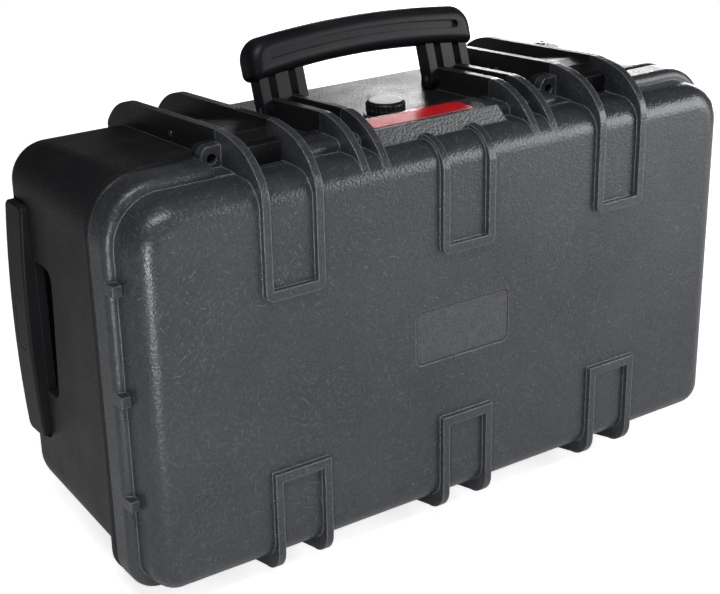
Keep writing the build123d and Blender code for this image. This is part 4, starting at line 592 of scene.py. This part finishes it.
def gripPlastic(name, look):
    mat, tree, shader = newMaterial(name, {"Specular IOR Level": gripTones["shine"]})
    grain = useGroup(tree, "grain", Pebble_Scale=gripTones["pebble"], Fine_Scale=gripTones["fine"])
    edge = useGroup(tree, "edge", Width=gripTones["edge"], Breakup=gripTones["breakup"])
    dust = useGroup(tree, "dust", Amount=gripTones["dust"])
    along = calc(tree, "ADD", axes(tree, objectCoords(tree))[look["along"]], aboveZero)
    joint = fade(tree, calc(tree, "PINGPONG", along, look["pitch"] / 2), *gripTones["joint"])
    tone = cloudy(tree, grain["Variation"], look["colour"], gripTones["shades"])
    tone = overlay(tree, edge["Mask"], gripTones["wear"], tone, gripTones["worn"])
    tone = mixColour(tree, dust["Mask"], tone, gripTones["dusty"])
    tree.links.new(tone, shader.inputs["Base Color"])
    low, high = look["rough"] - gripTones["smoother"], look["rough"] + gripTones["rougher"]
    rough = fade(tree, grain["Variation"], *gripTones["roughRange"], low, high)
    tree.links.new(rough, shader.inputs["Roughness"])
    height = calc(tree, "MULTIPLY", grain["Height"], gripTones["grainShare"])
    height = calc(tree, "MULTIPLY_ADD", joint, -look["groove"], height)
    addBump(tree, shader, height, gripTones["bump"], edge["Normal"])
    return mat


gripLooks = {
    "handleGrip": {
        "colour": (0.0065, 0.007, 0.009), "rough": 0.36, "along": "X", "pitch": 0.0105,
        "groove": 0.14,
    },
    "pullGrip": {
        "colour": (0.0105, 0.0105, 0.012), "rough": 0.38, "along": "Z", "pitch": 0.4,
        "groove": 0.0,
    },
    "handleCore": {
        "colour": (0.0095, 0.010, 0.012), "rough": 0.32, "along": "X", "pitch": 2.0,
        "groove": 0.0,
    },
}
for name, look in gripLooks.items():
    materials[name] = gripPlastic(name, look)


# metals: lines along the way they were drawn, and a few dull smears
metalTones = {
    "edge": 0.0004,
    "breakup": 0.3,
    "lines": (1.0, 4.0, 0.65),
    "smear": (60.0, 3.0, 0.6),
    "shades": (0.82, 1.08),
    "smearRange": (0.55, 0.8, 0.0, 0.35),
    "smearShade": 0.55,
    "worn": (0.7, 0.7, 0.7, 1),
    "roughRange": (0.2, 0.8),
    "smoother": 0.06,
    "rougher": 0.08,
    "bumpDistance": 0.00015,
}


def metal(name, look):
    mat, tree, shader = newMaterial(name, {"Metallic": look["metallic"]})
    edge = useGroup(tree, "edge", Width=metalTones["edge"], Breakup=metalTones["breakup"])
    coords = objectCoords(tree)
    stretch = tree.nodes.new("ShaderNodeMapping")
    stretch.inputs["Scale"].default_value = look["drawn"]
    tree.links.new(coords, stretch.inputs["Vector"])
    lines = noiseValue(tree, stretch.outputs[0], *metalTones["lines"])
    smear = noiseValue(tree, coords, *metalTones["smear"])
    darker, lighter = (scaled(look["colour"], shade) for shade in metalTones["shades"])
    tone = mixColour(tree, lines, darker, lighter)
    dull = fade(tree, smear, *metalTones["smearRange"])
    tone = mixColour(tree, dull, tone, scaled(look["colour"], metalTones["smearShade"]))
    tone = overlay(tree, edge["Mask"], look["wear"], tone, metalTones["worn"])
    tree.links.new(tone, shader.inputs["Base Color"])
    low, high = look["rough"] - metalTones["smoother"], look["rough"] + metalTones["rougher"]
    rough = fade(tree, lines, *metalTones["roughRange"], low, high)
    tree.links.new(rough, shader.inputs["Roughness"])
    addBump(tree, shader, lines, (look["bump"], metalTones["bumpDistance"]), edge["Normal"])
    return mat


metalLooks = {
    "tubeAluminium": {
        "colour": (0.62, 0.63, 0.65), "drawn": (12.0, 1400.0, 1400.0), "metallic": 1.0,
        "rough": 0.34, "bump": 0.25, "wear": 0.2,
    },
    "boltSteel": {
        "colour": (0.72, 0.72, 0.73), "drawn": (500.0, 500.0, 500.0), "metallic": 1.0,
        "rough": 0.22, "bump": 0.15, "wear": 0.3,
    },
    "pinSteel": {
        "colour": (0.56, 0.56, 0.57), "drawn": (30.0, 1500.0, 1500.0), "metallic": 1.0,
        "rough": 0.3, "bump": 0.2, "wear": 0.3,
    },
    "blackSteel": {
        "colour": (0.05, 0.05, 0.052), "drawn": (700.0, 700.0, 700.0), "metallic": 0.85,
        "rough": 0.42, "bump": 0.3, "wear": 0.7,
    },
}
for name, look in metalLooks.items():
    materials[name] = metal(name, look)


# the bare plate: glossy red, with paler scuffs and edges
plateLook = {
    "edge": 0.0005,
    "breakup": 0.35,
    "scuffs": 0.25,
    "clouds": (55.0, 3.0, 0.5),
    "deep": (0.58, 0.008, 0.014, 1),
    "bright": (0.72, 0.014, 0.022, 1),
    "scuffShare": 0.5,
    "scuffed": (0.75, 0.3, 0.3, 1),
    "wear": 0.4,
    "worn": (0.8, 0.35, 0.35, 1),
    "rough": (0.2, 0.8, 0.16, 0.26),
    "plain": {"Coat Weight": 0.15, "Coat Roughness": 0.1, "Specular IOR Level": 0.3},
    "ripple": (140.0, 2.0, 0.5),
    "bump": (0.12, 0.0004),
}


def glossRed():
    mat, tree, shader = newMaterial("plateRed", plateLook["plain"])
    edge = useGroup(tree, "edge", Width=plateLook["edge"], Breakup=plateLook["breakup"])
    scuffs = useGroup(tree, "scuffs", Density=plateLook["scuffs"])
    coords = objectCoords(tree)
    cloud = noiseValue(tree, coords, *plateLook["clouds"])
    tone = mixColour(tree, cloud, plateLook["deep"], plateLook["bright"])
    tone = overlay(tree, scuffs["Mask"], plateLook["scuffShare"], tone, plateLook["scuffed"])
    tone = overlay(tree, edge["Mask"], plateLook["wear"], tone, plateLook["worn"])
    tree.links.new(tone, shader.inputs["Base Color"])
    tree.links.new(fade(tree, cloud, *plateLook["rough"]), shader.inputs["Roughness"])
    ripple = noiseValue(tree, coords, *plateLook["ripple"])
    addBump(tree, shader, ripple, plateLook["bump"], edge["Normal"])
    return mat


materials["plateRed"] = glossRed()


# rubbers: dirty in patches, with tread rings where a pitch for them is given
rubberTones = {
    "fineScale": 3,
    "dust": 0.25,
    "shades": (0.8, 1.25),
    "dirtNoise": (90.0, 5.0, 0.65),
    "dirt": (0.5, 0.8, 0.0, 0.3),
    "dirty": (0.13, 0.12, 0.11, 1),
    "dusty": (0.3, 0.29, 0.27, 1),
    "roughRange": (0.2, 0.8),
    "smoother": 0.06,
    "rougher": 0.08,
    "ring": (0.0, 0.0006),
    "ringHeight": 2.0,
    "bump": (0.5, 0.0004),
}


def rubber(name, look):
    mat, tree, shader = newMaterial(name)
    fine = look["pebble"] * rubberTones["fineScale"]
    grain = useGroup(tree, "grain", Pebble_Scale=look["pebble"], Fine_Scale=fine)
    dust = useGroup(tree, "dust", Amount=rubberTones["dust"])
    coords = objectCoords(tree)
    tone = cloudy(tree, grain["Variation"], look["colour"], rubberTones["shades"])
    dirt = fade(tree, noiseValue(tree, coords, *rubberTones["dirtNoise"]), *rubberTones["dirt"])
    tone = mixColour(tree, dirt, tone, rubberTones["dirty"])
    tone = mixColour(tree, dust["Mask"], tone, rubberTones["dusty"])
    tree.links.new(tone, shader.inputs["Base Color"])
    low, high = look["rough"] - rubberTones["smoother"], look["rough"] + rubberTones["rougher"]
    rough = fade(tree, grain["Variation"], *rubberTones["roughRange"], low, high)
    tree.links.new(rough, shader.inputs["Roughness"])
    height = grain["Height"]
    if look["tread"]:
        across = calc(tree, "ADD", axes(tree, coords)["Z"], aboveZero)
        ring = fade(tree, calc(tree, "PINGPONG", across, look["tread"] / 2), *rubberTones["ring"])
        height = calc(tree, "MULTIPLY_ADD", ring, rubberTones["ringHeight"], height)
    addBump(tree, shader, height, rubberTones["bump"])
    return mat


rubberLooks = {
    "sealRubber": {
        "colour": (0.022, 0.022, 0.023), "rough": 0.62, "pebble": 1600.0, "tread": 0.0,
    },
    "tyreRubber": {
        "colour": (0.026, 0.026, 0.027), "rough": 0.6, "pebble": 1100.0, "tread": 0.0044,
    },
}
for name, look in rubberLooks.items():
    materials[name] = rubber(name, look)


# padded cloth, a brushed nylon over padding: a fine weave and a soft pile
clothTones = {
    "pile": (1500.0, 3.0, 0.7),
    "clouds": (14.0, 4.0, 0.6),
    "shades": (0.78, 1.2),
    "pileRange": (0.5, 0.75, 0.0, 0.5),
    "pileShade": 1.7,
    "weaveShare": 0.5,
    "pileShare": 0.8,
    "plain": {"Roughness": 0.9, "Sheen Weight": 0.4, "Sheen Roughness": 0.5},
    "bump": (0.5, 0.0004),
}


def paddedCloth(name, look):
    mat, tree, shader = newMaterial(name, clothTones["plain"])
    coords = objectCoords(tree)
    place = axes(tree, coords)
    waves = []
    for axis in ("X", "Y", "Z"):
        turns = calc(tree, "MULTIPLY", place[axis], fullTurn / look["thread"])
        waves.append(calc(tree, "SINE", turns))
    weave = calc(tree, "MULTIPLY_ADD", waves[0], waves[2], waves[1])
    weave = calc(tree, "MULTIPLY", weave, clothTones["weaveShare"])
    pile = noiseValue(tree, coords, *clothTones["pile"])
    cloud = noiseValue(tree, coords, *clothTones["clouds"])
    tone = cloudy(tree, cloud, look["colour"], clothTones["shades"])
    raised = fade(tree, pile, *clothTones["pileRange"])
    tone = mixColour(tree, raised, tone, scaled(look["colour"], clothTones["pileShade"]))
    tree.links.new(tone, shader.inputs["Base Color"])
    height = calc(tree, "MULTIPLY_ADD", pile, clothTones["pileShare"], weave)
    addBump(tree, shader, height, clothTones["bump"])
    return mat


clothLooks = {
    "trayCloth": {"colour": (0.05, 0.05, 0.054), "thread": 0.0011},
    "dividerCloth": {"colour": (0.062, 0.062, 0.067), "thread": 0.0011},
}
for name, look in clothLooks.items():
    materials[name] = paddedCloth(name, look)
print("materials made:", len(materials))


# which finish each CAD node takes
nodeFinish = {
    "lidPlastic": ["lid_shell"],
    "baseShadedPlastic": ["base_shell", "back_cover", "wheel_housing_upper", "wheel_housing_lower"],
    "latchPlastic": [
        "latch_lever_left", "latch_lever_right", "latch_claw_left", "latch_claw_right",
    ],
    "handleCore": ["handle_frame"],
    "handleGrip": ["handle_grip"],
    "pullGrip": ["pull_grip_shell", "pull_grip_cover", "pull_button"],
    "valvePlastic": ["valve_knob", "valve_seat"],
    "guidePlastic": [
        "tube_guides", "trolley_end_blocks", "middle_tube_collars", "wheel_hub_upper",
        "wheel_hub_lower",
    ],
    "tubeAluminium": ["trolley_outer_tubes", "trolley_middle_tubes", "trolley_inner_tubes"],
    "boltSteel": [
        "wheel_axle_upper", "wheel_axle_lower", "wheel_nuts", "wheel_spacers",
        "wheel_bearings_upper", "wheel_bearings_lower",
    ],
    "pinSteel": [
        "hinge_pins", "latch_pivot_pins", "handle_pivot_pins", "latch_link_pin_left",
        "latch_link_pin_right", "release_rods",
    ],
    "blackSteel": ["cover_screws", "housing_screws", "pull_grip_screws"],
    "sealRubber": ["lid_gasket", "valve_ring"],
    "tyreRubber": ["wheel_tyre_upper", "wheel_tyre_lower"],
    "plateRed": ["nameplate"],
}
for finish, members in nodeFinish.items():
    for member in members:
        slots = nodes[member].material_slots
        if not slots:
            nodes[member].data.materials.append(materials[finish])
        for each in slots:
            each.material = materials[finish]
print("CAD nodes dressed")


def finishPiece(shape, name, finish, body, smooth=True):
    mesh = bpy.data.meshes.new(name)
    bmesh.ops.recalc_face_normals(shape, faces=shape.faces)
    for face in shape.faces:
        face.smooth = smooth
    shape.to_mesh(mesh)
    shape.free()
    mesh.materials.append(finish)
    piece = addObject(name, mesh)
    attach(piece, body)
    return piece


# label floor: a thin sheet in the lid's recess, the bare pocket's floor, with a
# coarse cast mottling and a painted shadow line round it
labelFloor = {
    "centre": (-0.002, -0.1115, 0.163),
    "size": (0.0884, 0.043),
    "corner": 0.0058,
    "cornerSteps": 6,
    "upright": 0.9,
    "thickness": 0.00045,
    "gap": 0.00005,
    "pebble": 900.0,
    "fine": 2600.0,
    "cast": (230.0, 5.0, 0.7),
    "castRange": (0.3, 0.75),
    "dark": (0.036, 0.037, 0.042, 1),
    "light": (0.062, 0.064, 0.070, 1),
    "shadowLineOuter": 0.0013,
    "shadowLineInner": 0.0007,
    "shadowLineShare": 0.92,
    # the line colour is a painted shadow: the shade in the groove round the recess's floor
    "line": (0.006, 0.006, 0.007, 1),
    "rough": (0.3, 0.7, 0.5, 0.36),
    "castShare": 1.6,
    "bump": (0.6, 0.0005),
}


def labelPlastic():
    mat, tree, shader = newMaterial("labelFloor")
    coords = objectCoords(tree)
    pebble, fine = labelFloor["pebble"], labelFloor["fine"]
    grain = useGroup(tree, "grain", Pebble_Scale=pebble, Fine_Scale=fine)
    cast = noiseValue(tree, coords, *labelFloor["cast"])
    mottle = fade(tree, cast, *labelFloor["castRange"])
    tone = mixColour(tree, mottle, labelFloor["dark"], labelFloor["light"])
    # the reach from the rounded corners' middles outwards, for the painted shadow line round the
    # floor
    place = axes(tree, coords)
    width, height = labelFloor["size"]
    middleX, _, middleZ = labelFloor["centre"]
    overs = []
    for axis, middle, span in (("X", middleX, width), ("Z", middleZ, height)):
        away = calc(tree, "ABSOLUTE", calc(tree, "SUBTRACT", place[axis], middle))
        overs.append(calc(tree, "SUBTRACT", away, span / 2 - labelFloor["corner"]))
    outX, outZ = (calc(tree, "MAXIMUM", over, 0.0) for over in overs)
    squares = calc(tree, "MULTIPLY_ADD", outX, outX, calc(tree, "MULTIPLY", outZ, outZ))
    inner = calc(tree, "MINIMUM", calc(tree, "MAXIMUM", *overs), 0.0)
    reach = calc(tree, "ADD", calc(tree, "SQRT", squares), inner)
    low, high = (labelFloor["corner"] - labelFloor[side] for side in ("shadowLineOuter", "shadowLineInner"))
    line = fade(tree, reach, low, high)
    # painted shadow: a thin dark band at the floor's edge
    tone = overlay(tree, line, labelFloor["shadowLineShare"], tone, labelFloor["line"])
    tree.links.new(tone, shader.inputs["Base Color"])
    tree.links.new(fade(tree, cast, *labelFloor["rough"]), shader.inputs["Roughness"])
    raised = calc(tree, "MULTIPLY_ADD", cast, labelFloor["castShare"], grain["Height"])
    addBump(tree, shader, raised, labelFloor["bump"])
    return mat


def addLabelFloor():
    shape = bmesh.new()
    bmesh.ops.create_cube(shape, size=1)
    width, height = labelFloor["size"]
    thickness = labelFloor["thickness"]
    bmesh.ops.scale(shape, vec=(width, thickness, height), verts=shape.verts)
    upright = []
    for edge in shape.edges:
        way = (edge.verts[0].co - edge.verts[1].co).normalized()
        if abs(way.y) > labelFloor["upright"]:
            upright.append(edge)
    bmesh.ops.bevel(
        shape, geom=upright, offset=labelFloor["corner"], affect="EDGES",
        segments=labelFloor["cornerSteps"], profile=0.5, material=-1,
    )
    x, y, z = labelFloor["centre"]
    place = (x, y - thickness / 2 - labelFloor["gap"], z)
    bmesh.ops.translate(shape, vec=place, verts=shape.verts)
    finishPiece(shape, "labelFloor", labelPlastic(), "lid", smooth=False)


addLabelFloor()
print("label floor made")


# lid foam: an open-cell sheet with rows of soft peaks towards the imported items
lidFoam = {
    "pitch": 0.032,
    "depth": 0.010,
    "margin": 0.014,
    "corner": 0.016,
    "across": 150,
    "up": 84,
    "sideGap": 0.0004,
    "rim": 0.006,
    "rimDrop": 0.0035,
    "faceGap": 0.0005,
    "lumpScale": 9,
    "lumpSeed": 0.3,
    "lumps": 0.0008,
    "steps": (0.5, 0.4),
    "pores": 900.0,
    "poreShadeRange": (0.1, 0.6),
    # the dark colour is painted shade in the foam's pores
    "dark": (0.030, 0.030, 0.033, 1),
    "light": (0.085, 0.085, 0.09, 1),
    "clouds": (35.0, 4.0, 0.6),
    "cloudRange": (0.4, 0.75, 0.0, 0.4),
    "cloud": (0.05, 0.05, 0.053, 1),
    "plain": {"Roughness": 0.95, "Specular IOR Level": 0.2, "Sheen Weight": 0.25},
    "bump": (0.8, 0.0006),
}


def openFoam():
    mat, tree, shader = newMaterial("openFoam", lidFoam["plain"])
    coords = objectCoords(tree)
    pores = tree.nodes.new("ShaderNodeTexVoronoi")
    pores.inputs["Scale"].default_value = lidFoam["pores"]
    tree.links.new(coords, pores.inputs["Vector"])
    cell = pores.outputs["Distance"]
    # painted shade in the pores: each cell's middle, where the bump sinks, is coloured dark
    poreShade = fade(tree, cell, *lidFoam["poreShadeRange"])
    tone = mixColour(tree, poreShade, lidFoam["dark"], lidFoam["light"])
    cloud = fade(tree, noiseValue(tree, coords, *lidFoam["clouds"]), *lidFoam["cloudRange"])
    tone = mixColour(tree, cloud, tone, lidFoam["cloud"])
    tree.links.new(tone, shader.inputs["Base Color"])
    addBump(tree, shader, cell, lidFoam["bump"])
    return mat


def roundedPlace(x, z, halfX, halfZ, radius):
    overX, overZ = abs(x) - (halfX - radius), abs(z) - (halfZ - radius)
    if overX <= 0 or overZ <= 0:
        return x, z
    shrink = max(overX, overZ) / math.hypot(overX, overZ)
    return (
        math.copysign(halfX - radius + overX * shrink, x),
        math.copysign(halfZ - radius + overZ * shrink, z),
    )


def addLidFoam():
    low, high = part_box("lid_foam")
    middle = (low + high) / 2
    halfX = (high.x - low.x) / 2 - lidFoam["sideGap"]
    halfZ = (high.z - low.z) / 2 - lidFoam["sideGap"]
    pitch = lidFoam["pitch"]
    shape = bmesh.new()
    bmesh.ops.create_grid(shape, x_segments=lidFoam["across"], y_segments=lidFoam["up"], size=1)
    for vert in shape.verts:
        x, z = roundedPlace(vert.co.x * halfX, vert.co.y * halfZ, halfX, halfZ, lidFoam["corner"])
        inside = min(halfX - abs(x), halfZ - abs(z))
        rise = max(0.0, min(1.0, (inside - lidFoam["rim"]) / lidFoam["margin"]))
        rise = rise * rise * (3 - 2 * rise)
        wave = math.cos(2 * math.pi * x / pitch) * math.cos(2 * math.pi * z / pitch)
        spot = Vector((x * lidFoam["lumpScale"], z * lidFoam["lumpScale"], lidFoam["lumpSeed"]))
        tilt = noise.noise(spot) * lidFoam["lumps"]
        rounding = max(0.0, 1 - inside / lidFoam["rim"]) ** 2 * lidFoam["rimDrop"]
        hollow = lidFoam["depth"] * 0.5 * (1 - wave) * rise
        y = high.y - lidFoam["faceGap"] - hollow - rounding + tilt * rise
        vert.co = Vector((middle.x + x, y, middle.z + z))
    rim = [edge for edge in shape.edges if edge.is_boundary]
    for step in lidFoam["steps"]:
        made = bmesh.ops.extrude_edge_only(shape, edges=rim)["geom"]
        rim = [part for part in made if isinstance(part, bmesh.types.BMEdge) and part.is_boundary]
        verts = [part for part in made if isinstance(part, bmesh.types.BMVert)]
        bmesh.ops.translate(shape, vec=(0, -(high.y - low.y) * step, 0), verts=verts)
    bmesh.ops.holes_fill(shape, edges=rim, sides=0)
    for vert in shape.verts:
        vert.co.y = max(vert.co.y, low.y + lidFoam["faceGap"])
    return finishPiece(shape, "lidFoamSheet", openFoam(), "lid")


lidFoamSheet = addLidFoam()
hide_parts("lid_foam")
print("lid foam made")


# padding in the base: the CAD tray and dividers as soft, rounded cloth pads
padding = {
    "joined": 1e-6,
    "voxel": 0.004,
    "settle": 0.5,
    "rounds": 3,
    "lumpScale": 42,
    "lumps": 0.0006,
    "edgeGap": 0.0001,
}


def softCopy(node, name, finish):
    low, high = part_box(node)
    shape = bmesh.new()
    shape.from_mesh(nodes[node].data)
    bmesh.ops.remove_doubles(shape, verts=shape.verts, dist=padding["joined"])
    mesh = bpy.data.meshes.new(name)
    shape.to_mesh(mesh)
    shape.free()
    piece = addObject(name, mesh)
    remesh = piece.modifiers.new("even", "REMESH")
    remesh.mode = "VOXEL"
    remesh.voxel_size = padding["voxel"]
    settle = piece.modifiers.new("settle", "SMOOTH")
    settle.factor = padding["settle"]
    settle.iterations = padding["rounds"]
    held = bpy.context.evaluated_depsgraph_get()
    made = bpy.data.meshes.new_from_object(piece.evaluated_get(held))
    piece.modifiers.clear()
    piece.data = made
    made.materials.clear()
    made.materials.append(materials[finish])
    for face in made.polygons:
        face.use_smooth = True
    # all normals are read before the first vertex moves
    normals = [vert.normal.copy() for vert in made.vertices]
    gap = padding["edgeGap"]
    for vert, normal in zip(made.vertices, normals):
        lump = noise.noise(vert.co * padding["lumpScale"]) * padding["lumps"] - padding["lumps"]
        vert.co += normal * lump
        for axis in range(3):
            vert.co[axis] = min(max(vert.co[axis], low[axis] + gap), high[axis] - gap)
    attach(piece, "base")
    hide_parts(node)
    return piece


pads = (
    ("base_liner", "paddedTray", "trayCloth", 0.7),
    ("long_divider", "longDividerPad", "dividerCloth", 0.8),
    ("short_dividers", "shortDividerPads", "dividerCloth", 0.8),
)
for node, name, finish, fill in pads:
    softCopy(node, name, finish)
print("padding made")
